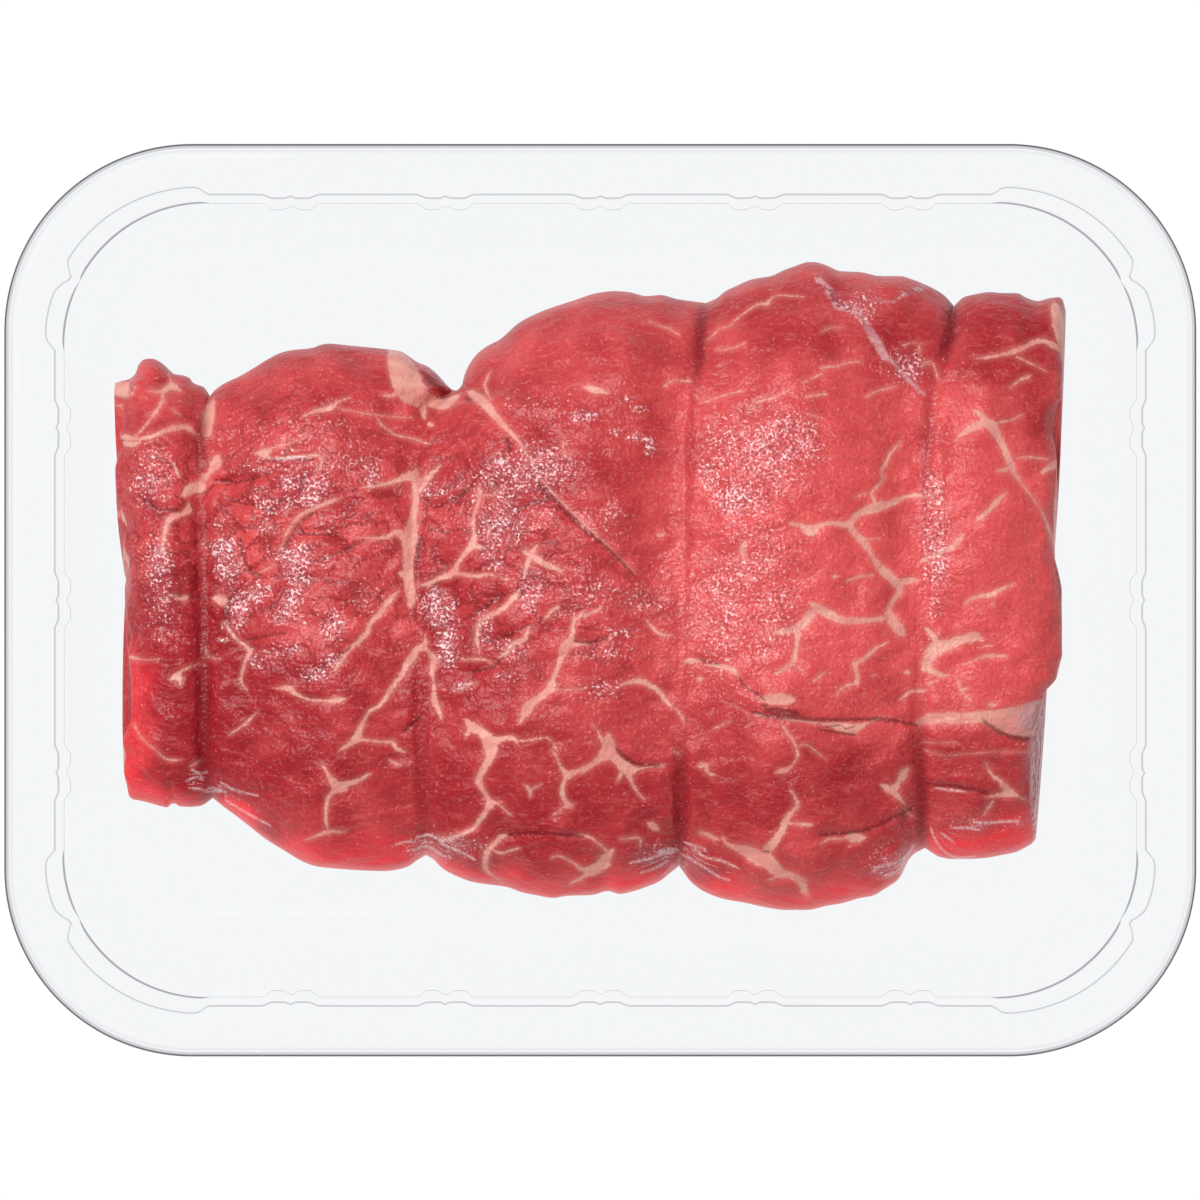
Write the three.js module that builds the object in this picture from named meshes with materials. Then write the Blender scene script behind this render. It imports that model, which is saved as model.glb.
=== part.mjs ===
// Meat tray pack: a clear, open, thin-walled tray with a rolled beef joint lying in it.
// Millimetres, +Z up. The origin is the middle of the tray's base, on the surface it stands on.
// +X runs along the tray, and +Y is the long side that the joint lies nearer to.
import * as THREE from "three";

// Tray, over all
const TRAY_LENGTH = 228.6;
const TRAY_WIDTH = 175;
const TRAY_HEIGHT = 55;
const SHEET = 0.8;

// Rim: a flat flange all round, with its outer edge rolled down
const RIM_RADIUS = 36;
const FLANGE_WIDTH = 9.9;
const LIP_ROLL = 1.5;
const LIP_DROP = 2.8;

// Opening and wall
const OPENING_RADIUS = 28.7;
const WALL_DRAFT = THREE.MathUtils.degToRad(11.5);
const TOP_BEND = 0.9;
const FLOOR_FILLET = 7;

// Stacking lugs: at every corner a long and a short pocket, cut outwards down to a ledge
const LEDGE_DEPTH = 6;
const LEDGE_SLOPE = 0.4;
const LUG_BACK_DRAFT = 0.3;
const FULL_LUG_REACH = 0.7;

// Ribs: upright flutes on the wall, each two crests with a valley between them
const LONG_WALL_RIBS = 5;
const LONG_WALL_PITCH = 29.7;
const SHORT_WALL_RIBS = 3;
const SHORT_WALL_PITCH = 33.1;
const RIB_HALF_WIDTH = 5.6;
const RIB_CREST_AT = 3.6;
const RIB_VALLEY = 0.35;
const RIB_RELIEF_AT_RIM = 0.7;
const RIB_RELIEF = 1.5;
const RIB_FULL_DEPTH = 10;

// How far each lug reaches outwards (mm) at an angle round the corner (degrees from the X axis)
const LUG_REACH = [
  [-2, 0],
  [3, 1.7],
  [10, 1.9],
  [19, 1.8],
  [24, 0.7],
  [27, 0],
  [29, 1],
  [32, 2.1],
  [44, 2.1],
  [56, 2],
  [68, 1.8],
  [78, 1.6],
  [86, 1.4],
  [91.5, 0],
];
const COARSE_CORNER_STEPS = 8;

// Beef joint: five bulges between four string grooves, lying on the tray's floor
const REST_GAP = 0.3;
const JOINT_LEFT = -92.6;
const JOINT_RIGHT = 90.4;
const WIDEST_LEVEL = 20;
const UNDERSIDE_DEPTH = 23;
const TOP_FULLNESS = 2.7;
const UNDERSIDE_FULLNESS = 2.9;
const END_ROUNDING = 6;
const END_DOME = 1.4;
const END_LEAN = 6;
const END_TUCK = 6;
const BULGE_FULLNESS = 0.6;

// A groove keeps to its middle line and bends only near its ends, the more so the higher the power
const GROOVE_BACK_BEND = 3;
const GROOVE_FRONT_BEND = 2;
const GROOVE_OVERRUN = 1.1;

// Where the joint is pinched: the middle, back and front ends of each groove along X, the joint's
// edges there along Y, and the height of its crown. The first and the last are its cut ends.
const PINCHES = [
  { mid: JOINT_LEFT, back: -90.5, front: -91.6, backEdge: 42.5, frontEdge: -38.6, crown: 35 },
  { mid: -76.6, back: -75, front: -74.8, backEdge: 39.4, frontEdge: -38.5, crown: 34.5 },
  { mid: -35, back: -28, front: -33.6, backEdge: 40.3, frontEdge: -49.2, crown: 40 },
  { mid: 16.2, back: 20.4, front: 15.2, backEdge: 57, frontEdge: -51.4, crown: 43.5 },
  { mid: 62.2, back: 68.4, front: 62.6, backEdge: 57, frontEdge: -48.4, crown: 42 },
  { mid: JOINT_RIGHT, back: 90.8, front: 88, backEdge: 57, frontEdge: -46.4, crown: 41 },
];

// How far each bulge stands out between its two pinches: at the back, at the front and on top,
// and where along it (0 to 1) the back and the front stand out most
const BULGES = [
  { back: 4.4, backPeak: 0.35, front: 1.8, frontPeak: 0.5, top: 3.5 },
  { back: 10, backPeak: 0.47, front: 8.2, frontPeak: 0.5, top: 5.5 },
  { back: 10.2, backPeak: 0.42, front: 7.6, frontPeak: 0.5, top: 6 },
  { back: 8.8, backPeak: 0.42, front: 10.3, frontPeak: 0.5, top: 5.6 },
  { back: 2.6, backPeak: 0.5, front: 2.5, frontPeak: 0.4, top: 3.4 },
];
const STEPS_PER_BULGE = 8;
const STEPS_ROUND_JOINT = 36;
const END_STEPS = 3;
const CLEAR_OF_ROUNDING = 1.2;
const FACE_STEPS = 3;

const halfLength = TRAY_LENGTH / 2;
const halfWidth = TRAY_WIDTH / 2;
const openingX = halfLength - FLANGE_WIDTH;
const openingY = halfWidth - FLANGE_WIDTH;

const LEVEL = 1e-9;

const lerp = THREE.MathUtils.lerp;
const clamp = THREE.MathUtils.clamp;

// A point on a quarter of a rounded rectangle, at an angle round its corner. Angles under 0 and
// over 90 degrees run on along the straight sides.
function onRoundedRectangle(halfX, halfY, radius, degrees) {
  const turn = THREE.MathUtils.degToRad(clamp(degrees, 0, 90));
  const past = THREE.MathUtils.degToRad(degrees) - turn;
  const out = new THREE.Vector2(Math.cos(turn), Math.sin(turn));
  const point = new THREE.Vector2(halfX - radius, halfY - radius).addScaledVector(out, radius);
  if (past < 0) point.y += past * radius;
  if (past > 0) point.x -= past * radius;
  return { point, out };
}

// A station holds a point on the plain opening, the way out of it, its mate on the rim, and the
// reach of the lug and the share of the rib that stand there. A coarse station is one that the
// rim, the lip and the floor use too.
function cornerStation(degrees, reach, coarse) {
  const opening = onRoundedRectangle(openingX, openingY, OPENING_RADIUS, degrees);
  const rim = onRoundedRectangle(halfLength, halfWidth, RIM_RADIUS, degrees);
  return { ...opening, rim: rim.point, reach, rib: 0, coarse };
}

function sideStation(alongX, place, rib, coarse) {
  const spread = alongX
    ? (halfLength - RIM_RADIUS) / (openingX - OPENING_RADIUS)
    : (halfWidth - RIM_RADIUS) / (openingY - OPENING_RADIUS);
  const at = (along, across) =>
    alongX ? new THREE.Vector2(along, across) : new THREE.Vector2(across, along);
  return {
    point: at(place, alongX ? openingY : openingX),
    out: at(0, 1),
    rim: at(place * spread, alongX ? halfWidth : halfLength),
    reach: 0,
    rib,
    coarse,
  };
}

// The stations of one wall's ribs in the first quarter, from the middle of the wall outwards
function ribStations(alongX, count, pitch) {
  const profile = [
    [-RIB_HALF_WIDTH, 0],
    [-RIB_CREST_AT, 1],
    [0, RIB_VALLEY],
    [RIB_CREST_AT, 1],
    [RIB_HALF_WIDTH, 0],
  ];
  const stations = [];
  for (let k = 0; k <= (count - 1) / 2; k++)
    for (const [offset, share] of profile)
      if (k * pitch + offset >= 0)
        stations.push(sideStation(alongX, k * pitch + offset, share, offset === 0));
  return stations;
}

// The reach of the lugs between the listed angles
function lugReach(degrees) {
  for (let k = 1; k < LUG_REACH.length; k++) {
    const [from, a] = LUG_REACH[k - 1];
    const [to, b] = LUG_REACH[k];
    if (degrees >= from && degrees <= to) return lerp(a, b, (degrees - from) / (to - from));
  }
  return 0;
}

function cornerStations() {
  const angles = LUG_REACH.map(([degrees]) => degrees);
  const coarse = [];
  for (let k = 0; k <= COARSE_CORNER_STEPS; k++) coarse.push((90 * k) / COARSE_CORNER_STEPS);
  return [...new Set([...angles, ...coarse])]
    .sort((a, b) => a - b)
    .map((degrees) => cornerStation(degrees, lugReach(degrees), coarse.includes(degrees)));
}

// The whole opening, counterclockwise: a quarter, mirrored three times
function openingStations() {
  const quarter = [
    ...ribStations(false, SHORT_WALL_RIBS, SHORT_WALL_PITCH),
    ...cornerStations(),
    ...ribStations(true, LONG_WALL_RIBS, LONG_WALL_PITCH).reverse(),
  ];
  const mirrored = (signX, signY, reversed) => {
    const copy = quarter.map((s) => ({
      ...s,
      point: new THREE.Vector2(s.point.x * signX, s.point.y * signY),
      out: new THREE.Vector2(s.out.x * signX, s.out.y * signY),
      rim: new THREE.Vector2(s.rim.x * signX, s.rim.y * signY),
    }));
    return (reversed ? copy.reverse() : copy).slice(0, -1);
  };
  const all = [
    ...mirrored(1, 1, false),
    ...mirrored(-1, 1, true),
    ...mirrored(-1, -1, false),
    ...mirrored(1, -1, true),
  ];
  return all.map((station, k) => ({ ...station, order: k / all.length }));
}

const STATIONS = openingStations();
const COARSE_STATIONS = STATIONS.filter((station) => station.coarse);

// How far the plain wall leans inwards at a depth under the rim
function wallInset(depth) {
  return depth * Math.tan(WALL_DRAFT);
}

// The ribs stand out a little at the rim and fully from a short way down
function ribRelief(depth) {
  return lerp(RIB_RELIEF_AT_RIM, RIB_RELIEF, clamp(depth / RIB_FULL_DEPTH, 0, 1));
}

// One ring of the wall. Its outline is the one that the inside has at outlineDepth, moved outwards
// by shift. A lug's back stands nearly upright, while the plain wall leans in beside it.
function wallRing({ depth, outlineDepth = depth, shift = 0, lugs = false }) {
  return STATIONS.map((s) => {
    const plain = -wallInset(outlineDepth) - s.rib * ribRelief(outlineDepth);
    const pocket = s.reach - LUG_BACK_DRAFT * (outlineDepth / LEDGE_DEPTH);
    const share = lugs ? Math.min(s.reach / FULL_LUG_REACH, 1) : 0;
    const outwards = lerp(plain, pocket, share) + shift;
    return {
      order: s.order,
      at: new THREE.Vector3(
        s.point.x + s.out.x * outwards,
        s.point.y + s.out.y * outwards,
        TRAY_HEIGHT - depth,
      ),
    };
  });
}

// One ring of the floor's rounded edge, without ribs or lugs
function floorRing(depth, inset) {
  return COARSE_STATIONS.map((s) => ({
    order: s.order,
    at: new THREE.Vector3(
      s.point.x - s.out.x * inset,
      s.point.y - s.out.y * inset,
      TRAY_HEIGHT - depth,
    ),
  }));
}

// One ring of the rim, at a distance inside its outer edge
function rimRing(depth, inside) {
  return COARSE_STATIONS.map((s) => ({
    order: s.order,
    at: new THREE.Vector3(
      s.rim.x - s.out.x * inside,
      s.rim.y - s.out.y * inside,
      TRAY_HEIGHT - depth,
    ),
  }));
}

// The rounded edge between wall and floor, from the floor up: insets and depths on its arc. The
// under side is the same arc, a sheet's thickness further out.
function filletSteps(sheet) {
  const floorDepth = TRAY_HEIGHT - SHEET;
  const turn = Math.PI / 2 - WALL_DRAFT;
  const radius = FLOOR_FILLET + sheet;
  const centreInset = wallInset(floorDepth) + FLOOR_FILLET * Math.tan(turn / 2);
  const centreDepth = floorDepth - FLOOR_FILLET;
  return [0, 1 / 3, 2 / 3, 1].map((share) => ({
    inset: centreInset - radius * Math.sin(turn * share),
    depth: centreDepth + radius * Math.cos(turn * share),
  }));
}

// The solid's surface is a chain of rings from the middle of the floor, up the inside, over the
// rim, and back down the outside to the middle of the base. Two rings are joined by walking
// round both at once, so they may have different numbers of points. Where both could step, the
// finer one does, or else the upper one, so that the faces of the two sides of a sheet match.
function solidFromRings(firstCentre, rings, lastCentre) {
  const vertices = [];
  const triangles = [];
  const add = (v) => vertices.push(v.x, v.y, v.z) / 3 - 1;
  const loops = rings.map((ring) => ring.map(({ order, at }) => ({ order, index: add(at) })));
  const first = add(firstCentre);
  const last = add(lastCentre);
  const after = (loop, k) => loop[(k + 1) % loop.length].index;
  const reached = (loop, k) => (k + 1 < loop.length ? loop[k + 1].order : 1);
  const start = loops[0];
  start.forEach((p, k) => triangles.push(first, p.index, after(start, k)));
  for (let r = 1; r < loops.length; r++) {
    const near = loops[r - 1];
    const far = loops[r];
    const finer = far.length - near.length || rings[r][0].at.z - rings[r - 1][0].at.z;
    let i = 0;
    let j = 0;
    while (i < near.length || j < far.length) {
      const ahead = reached(far, j) - reached(near, i);
      const level = Math.abs(ahead) < LEVEL;
      const stepFar = i >= near.length || (j < far.length && (level ? finer > 0 : ahead < 0));
      const a = near[i % near.length].index;
      const b = far[j % far.length].index;
      if (stepFar) triangles.push(a, b, after(far, j++));
      else triangles.push(a, b, after(near, i++));
    }
  }
  const end = loops[loops.length - 1];
  end.forEach((p, k) => triangles.push(p.index, last, after(end, k)));
  const geometry = new THREE.BufferGeometry();
  geometry.setAttribute("position", new THREE.Float32BufferAttribute(vertices, 3));
  geometry.setIndex(triangles);
  geometry.computeVertexNormals();
  return geometry;
}

function makeTray() {
  const slant = SHEET / Math.cos(WALL_DRAFT);
  const inside = filletSteps(0);
  const outside = filletSteps(SHEET);
  const ledgeFoot = LEDGE_DEPTH + LEDGE_SLOPE;
  const outer = (depth, lugs) =>
    wallRing({ depth: depth + SHEET, outlineDepth: depth, shift: slant, lugs });
  const rings = [
    floorRing(inside[0].depth, inside[0].inset),
    floorRing(inside[1].depth, inside[1].inset),
    floorRing(inside[2].depth, inside[2].inset),
    wallRing({ depth: inside[3].depth }),
    wallRing({ depth: RIB_FULL_DEPTH }),
    wallRing({ depth: ledgeFoot }),
    wallRing({ depth: LEDGE_DEPTH, lugs: true }),
    wallRing({ depth: TOP_BEND, lugs: true }),
    wallRing({ depth: 0, shift: TOP_BEND, lugs: true }),
    rimRing(0, LIP_ROLL),
    rimRing(LIP_ROLL / 3, LIP_ROLL / 3),
    rimRing(LIP_ROLL, 0),
    rimRing(LIP_DROP, 0),
    rimRing(LIP_DROP, SHEET),
    rimRing(LIP_ROLL, SHEET),
    rimRing(SHEET, LIP_ROLL),
    wallRing({ depth: SHEET, outlineDepth: 0, shift: TOP_BEND + slant, lugs: true }),
    outer(TOP_BEND, true),
    outer(LEDGE_DEPTH, true),
    outer(ledgeFoot, false),
    outer(RIB_FULL_DEPTH, false),
    wallRing({ depth: outside[3].depth, outlineDepth: inside[3].depth, shift: slant }),
    floorRing(outside[2].depth, outside[2].inset),
    floorRing(outside[1].depth, outside[1].inset),
    floorRing(outside[0].depth, outside[0].inset),
  ];
  const top = new THREE.Vector3(0, 0, SHEET);
  const under = new THREE.Vector3(0, 0, 0);
  const tray = new THREE.Mesh(
    solidFromRings(top, rings, under),
    new THREE.MeshStandardMaterial({
      color: 0xeef2f5,
      roughness: 0.08,
      metalness: 0,
      transparent: true,
      opacity: 0.3,
    }),
  );
  tray.name = "tray";
  return tray;
}

// A full arch from 0 to 1 and back to 0, highest at peak
function arch(share, peak) {
  const even = clamp(share, 0, 1) ** (Math.log(0.5) / Math.log(peak));
  return (4 * even * (1 - even)) ** BULGE_FULLNESS;
}

// The joint's edges and crown, a share of the way along one bulge
function outlineAt(bulge, share) {
  const a = PINCHES[bulge];
  const b = PINCHES[bulge + 1];
  const { back, backPeak, front, frontPeak, top } = BULGES[bulge];
  return {
    back: lerp(a.backEdge, b.backEdge, share) + back * arch(share, backPeak),
    front: lerp(a.frontEdge, b.frontEdge, share) - front * arch(share, frontPeak),
    crown: lerp(a.crown, b.crown, share) + top * arch(share, 0.5),
  };
}

// The groove's place along X at a place across the joint: it bends towards its two ends
function grooveAt(pinch, y) {
  const { mid, back, front, backEdge, frontEdge } = PINCHES[pinch];
  return y > 0
    ? lerp(mid, back, clamp(y / backEdge, 0, GROOVE_OVERRUN) ** GROOVE_BACK_BEND)
    : lerp(mid, front, clamp(y / frontEdge, 0, GROOVE_OVERRUN) ** GROOVE_FRONT_BEND);
}

function superellipse(angle, fullness) {
  const c = Math.cos(angle);
  const s = Math.sin(angle);
  return {
    across: Math.sign(c) * Math.abs(c) ** (2 / fullness),
    up: Math.sign(s) * Math.abs(s) ** (2 / fullness),
  };
}

// How far a section is drawn in near a cut end, so that the end's edge is round
function endInset(bulge, share) {
  const length = PINCHES[bulge + 1].mid - PINCHES[bulge].mid;
  const toLeft = bulge === 0 ? share * length : END_ROUNDING;
  const toRight = bulge === BULGES.length - 1 ? (1 - share) * length : END_ROUNDING;
  const short = 1 - Math.min(toLeft, toRight, END_ROUNDING) / END_ROUNDING;
  return END_ROUNDING * (1 - Math.sqrt(1 - short * short));
}

// One cross-section of the joint. Those of a cut face are scaled about their middle and moved
// endwards.
function jointSection({ bulge, share, scale = 1, endwards = 0 }) {
  const { back, front, crown } = outlineAt(bulge, share);
  const inset = endInset(bulge, share);
  const middle = (back + front) / 2;
  const reach = (back - front) / 2 - inset;
  const towardsLeft = bulge === 0 ? 1 - share : 0;
  const towardsRight = bulge === BULGES.length - 1 ? share : 0;
  const ring = [];
  for (let k = 0; k < STEPS_ROUND_JOINT; k++) {
    const angle = (2 * Math.PI * k) / STEPS_ROUND_JOINT;
    const upper = angle <= Math.PI;
    const { across, up } = superellipse(angle, upper ? TOP_FULLNESS : UNDERSIDE_FULLNESS);
    const rise = (upper ? crown - WIDEST_LEVEL : UNDERSIDE_DEPTH) - inset;
    const y = middle + reach * across * scale;
    const z = Math.max(SHEET + REST_GAP, WIDEST_LEVEL + rise * up * scale);
    const along = lerp(grooveAt(bulge, y), grooveAt(bulge + 1, y), share);
    const lean = END_LEAN * (z / crown) * clamp(y / front, 0, 1) ** 2;
    const tuck = END_TUCK * clamp(1 - z / WIDEST_LEVEL, 0, 1) ** 2;
    const x = along + endwards + tuck * towardsLeft - (tuck + lean) * towardsRight;
    ring.push({ order: k / STEPS_ROUND_JOINT, at: new THREE.Vector3(x, y, z) });
  }
  return ring;
}

// Shares of the way along a bulge at which it has a section: closer near its pinches, and
// closer still round the edge of a cut end
function sectionShares(bulge) {
  const length = PINCHES[bulge + 1].mid - PINCHES[bulge].mid;
  const rounding = END_ROUNDING / length;
  const even = [];
  for (let k = 0; k < STEPS_PER_BULGE; k++)
    even.push((1 - Math.cos((Math.PI * k) / STEPS_PER_BULGE)) / 2);
  const round = [];
  for (let k = 0; k <= END_STEPS; k++)
    round.push(rounding * (1 - Math.cos((Math.PI * k) / (2 * END_STEPS))));
  const clear = rounding * CLEAR_OF_ROUNDING;
  if (bulge === 0) return [...round, ...even.filter((share) => share > clear)];
  if (bulge < BULGES.length - 1) return even;
  return [...even.filter((share) => share < 1 - clear), ...round.reverse().map((s) => 1 - s)];
}

// The cut face of one end, from its edge to its middle
function faceSections(bulge, share, way) {
  const face = [];
  for (let k = FACE_STEPS - 1; k > 0; k--) {
    const scale = k / FACE_STEPS;
    face.push(jointSection({ bulge, share, scale, endwards: way * END_DOME * (1 - scale ** 2) }));
  }
  return face;
}

function faceCentre(bulge, share, way) {
  return jointSection({ bulge, share, scale: 0, endwards: way * END_DOME })[0].at;
}

function makeJoint() {
  const last = BULGES.length - 1;
  const rings = faceSections(0, 0, -1).reverse();
  for (let bulge = 0; bulge <= last; bulge++)
    for (const share of sectionShares(bulge)) rings.push(jointSection({ bulge, share }));
  rings.push(...faceSections(last, 1, 1));
  const joint = new THREE.Mesh(
    solidFromRings(faceCentre(last, 1, 1), rings.reverse(), faceCentre(0, 0, -1)),
    new THREE.MeshStandardMaterial({ color: 0xc23a40, roughness: 0.35, metalness: 0 }),
  );
  joint.name = "beef_joint";
  return joint;
}

const pack = new THREE.Group();
pack.add(makeTray(), makeJoint());
export default pack;
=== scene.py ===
"""Looks of the meat tray pack: a clear ribbed tray with a rolled beef joint lying in it."""

import math

import bpy
import numpy as np
from mathutils.kdtree import KDTree
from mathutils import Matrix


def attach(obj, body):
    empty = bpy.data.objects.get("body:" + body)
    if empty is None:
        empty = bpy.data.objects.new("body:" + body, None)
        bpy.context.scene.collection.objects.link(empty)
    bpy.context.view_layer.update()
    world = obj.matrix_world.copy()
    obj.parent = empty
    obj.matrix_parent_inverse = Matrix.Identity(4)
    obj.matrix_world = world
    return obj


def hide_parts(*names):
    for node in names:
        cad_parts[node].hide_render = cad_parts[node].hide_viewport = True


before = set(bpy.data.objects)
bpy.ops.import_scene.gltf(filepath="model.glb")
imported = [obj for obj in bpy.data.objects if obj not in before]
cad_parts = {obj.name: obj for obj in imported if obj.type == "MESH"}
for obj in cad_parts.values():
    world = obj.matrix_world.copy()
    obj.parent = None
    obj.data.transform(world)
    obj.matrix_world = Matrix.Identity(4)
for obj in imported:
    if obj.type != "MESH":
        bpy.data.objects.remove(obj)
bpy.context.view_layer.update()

bl_info = {
    "name": "Meat tray pack",
    "version": (1, 0, 0),
    "blender": (4, 5, 0),
    "location": "3D View > Sidebar > Meat tray",
    "description": "Makes a clear ribbed tray with a rolled beef joint in it",
    "category": "Add Mesh",
}

MM = 0.001

# The photo looks straight down. Its middle pixel, its scale at the tray's rim, and how high the
# camera stands turn a pixel at a height into a place on the part, in millimetres.
PHOTO_SIZE = 1200
PHOTO_MIDDLE_X = 600.3
PHOTO_MIDDLE_Y = 600.2
RIM_SCALE = 0.1916
CAMERA_HEIGHT = 1685.0
RIM_HEIGHT = 55.0
SENSOR = 36.0

# The floor: half its side, and how far it lies under the base
FLOOR_HALF = 9000.0
FLOOR_GAP = 0.3

# Tray, as in the CAD
TRAY_LENGTH = 228.6
TRAY_WIDTH = 175.0
SHEET = 0.8
RIM_RADIUS = 36.0
FLANGE_WIDTH = 9.9
LIP_ROLL = 1.5
LIP_DROP = 2.8
LIP_EDGE = 0.15
OPENING_RADIUS = 28.7
WALL_DRAFT = math.radians(11.5)
TOP_BEND = 0.9
FLOOR_FILLET = 7.0
LEDGE_DEPTH = 6.0
LUG_BACK_DRAFT = 0.3
FULL_LUG_REACH = 0.7

# How far each stacking lug reaches outwards (mm) at an angle round the corner (degrees)
LUG_REACH = [
    (-2, 0),
    (3, 1.7),
    (10, 1.9),
    (19, 1.8),
    (24, 0.7),
    (27, 0),
    (29, 1),
    (32, 2.1),
    (44, 2.1),
    (56, 2),
    (68, 1.8),
    (78, 1.6),
    (86, 1.4),
    (91.5, 0),
]

# Round the ledge under a lug: how deep (mm), how much of the lug is there, and how dark its painted shade
# line is
LEDGE_STEPS = [
    (6.45, 0, 0),
    (6.35, 0.02, 0.7),
    (6.2, 0.1, 0.7),
    (6.16, 0.16, 0),
    (6.12, 0.5, 0),
    (6.05, 0.92, 0),
]

# Ribs: which wall a point is on, how close its points are (mm), and the valley down each rib
LONG_WALL = 1.0
SHORT_WALL = 2.0
WALL_STEP = 1.9
RIB_REACH = 6.3
RIB_STEP = 0.45
LEAST_STEP = 0.4
CORNER_GAP = 1.2
CORNER_STEP = 1.7
VALLEY_DEPTH = 0.02
VALLEY_SHARE = 0.62

# Beef joint, as in the CAD: crowns at the pinches, and how far each bulge rises between them
WIDEST_LEVEL = 20.0
REST_LEVEL = 1.1
UNDERSIDE_DEPTH = 23.0
TOP_FULLNESS = 2.7
UNDERSIDE_FULLNESS = 2.9
BULGE_FULLNESS = 1.0
CROWNS = [35, 34.5, 40, 43.5, 42, 41]
BULGE_TOPS = [3.5, 5.5, 6, 5.6, 3.4]
END_TUCK = 6.0
END_DOME = 1.4

# Rails: the joint's left end, its four string grooves and its right end, each as pixels (x, y)
RAILS = [
    [
        (139, 362), (135, 374), (129, 379), (115, 383), (114, 395), (121, 398), (126, 404),
        (125, 425), (120, 438), (123, 443), (118, 455), (115, 470), (116, 492), (121, 506),
        (127, 526), (124, 535), (124, 546), (129, 560), (130, 588), (127, 600), (127, 615),
        (131, 635), (128, 650), (130, 668), (132, 700), (131, 720), (123, 742), (126, 756),
        (124, 770), (127, 786), (129, 799),
    ],
    [
        (210, 396), (206, 412), (201, 432), (199, 450), (199, 470), (201, 500), (203, 560),
        (204, 640), (204, 720), (206, 760), (213, 798),
    ],
    [
        (461, 391), (447, 397), (432, 409), (421, 440), (417, 480), (417, 540), (418, 600),
        (422, 650), (421, 720), (423, 790), (426, 855),
    ],
    [
        (706, 303), (701, 326), (697, 355), (691, 383), (688, 400), (687, 416), (684, 435),
        (685, 480), (685, 560), (684, 640), (682, 700), (682, 800), (679, 866),
    ],
    [
        (954, 306), (951, 335), (946, 346), (936, 378), (931, 407), (927, 433), (924, 470),
        (924, 503), (921, 560), (921, 604), (923, 639), (921, 700), (919, 740), (920, 773),
        (923, 797), (922, 815), (925, 848),
    ],
    [
        (1066, 308), (1065, 371), (1063, 392), (1057, 409), (1052, 426), (1056, 451),
        (1057, 468), (1054, 520), (1054, 547), (1061, 583), (1065, 611), (1066, 640),
        (1064, 670), (1063, 687), (1062, 708), (1061, 739), (1057, 761), (1054, 785),
        (1047, 799), (1044, 813), (1038, 830), (1035, 842),
    ],
]

# Outlines of each bulge between its two rails, as pixels (x, y)
BACK_OUTLINES = [
    [
        (139, 362), (145, 359), (152, 358.5), (160, 362), (168, 369), (174, 374), (181, 375),
        (188, 377), (192, 382), (198, 385), (204, 387), (207, 392), (210, 396),
    ],
    [
        (210, 396), (215, 390), (225, 383), (240, 376), (252, 369), (268, 359), (280, 353),
        (292, 350), (312, 348), (320, 345), (328, 343.5), (345, 345), (385, 349), (400, 351),
        (410, 357), (417, 362), (427, 366), (437, 374), (447, 385), (453, 390), (461, 391),
    ],
    [
        (461, 391), (464, 376), (472, 360), (479, 352), (489, 345), (499, 340), (520, 322),
        (545, 310), (575, 300), (597, 293), (615, 291), (629, 292), (646, 296), (661, 295),
        (677, 299), (691, 301), (706, 303),
    ],
    [
        (706, 303), (717, 298), (724, 292), (736, 286), (753, 279), (771, 276), (784, 270),
        (798, 265), (807, 262), (814, 262), (826, 265), (840, 271), (860, 272), (881, 276),
        (900, 276), (914, 280), (924, 284), (938, 291), (945, 296), (954, 306),
    ],
    [
        (954, 306), (964, 297), (976, 294), (990, 292), (1004, 293), (1018, 293), (1025, 297),
        (1038, 301), (1050, 298), (1061, 297), (1066, 308),
    ],
]
FRONT_OUTLINES = [
    [
        (129, 799), (142, 801), (150, 803), (160, 806), (168, 807.5), (173, 802), (178, 806),
        (190, 807), (200, 806), (213, 798),
    ],
    [
        (213, 798), (224, 807), (235, 815), (275, 845), (320, 867), (385, 871), (400, 869),
        (409, 866), (416, 861), (426, 855),
    ],
    [
        (426, 855), (433, 859), (442, 868), (452, 874), (473, 882), (485, 884), (507, 887),
        (521, 892), (535, 895), (554, 898), (566, 896), (592, 895), (608, 891), (620, 894),
        (634, 891), (646, 887), (660, 881), (670, 873), (679, 866),
    ],
    [
        (679, 866), (682, 870), (691, 882), (705, 892), (724, 899), (746, 903), (764, 907),
        (785, 910), (807, 910), (826, 906), (843, 903), (860, 898), (872, 896), (886, 888),
        (898, 880), (903, 872), (908, 861), (914, 854), (925, 848),
    ],
    [
        (925, 848), (931, 852), (940, 857), (952, 859), (967, 859), (985, 858), (1002, 855),
        (1016, 852), (1028, 846), (1035, 842),
    ],
]

# The upper edge of the right end's sloping face, as pixels (x, y). Above it the end is upright.
END_FACE_EDGE = [
    (1062, 655), (1056, 680), (1045, 691), (1038, 722), (1031, 738), (1030, 760), (1029, 790),
    (1030, 815), (1033, 842),
]

# How the joint is drawn: its rings and points, fewer underneath, and its rounded ends and grooves (mm)
STEPS_ROUND = 320
BULGE_STEPS = [26, 60, 74, 66, 42]
LAST_BULGE = len(BULGE_STEPS) - 1
UNDERSIDE_SHARE = 0.2
UNDERSIDE_FROM = -18
TYPICAL_HALF_WIDTH = 53
END_RINGS = [0, 0.1, 0.35, 0.8]
END_RINGS_CLEAR = 1.4
MIDDLE_ROW = 600
GROOVE_BAND = 0.85
CROWN_ROUNDING = 3.0
EDGE_ROUNDING = 1.0
GROOVE_LIFT = 1.4
GROOVE_LIFT_REACH = 7.0
FACE_SCALES = [0.985, 0.95, 0.89, 0.8, 0.68, 0.54, 0.38, 0.2]

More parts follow.
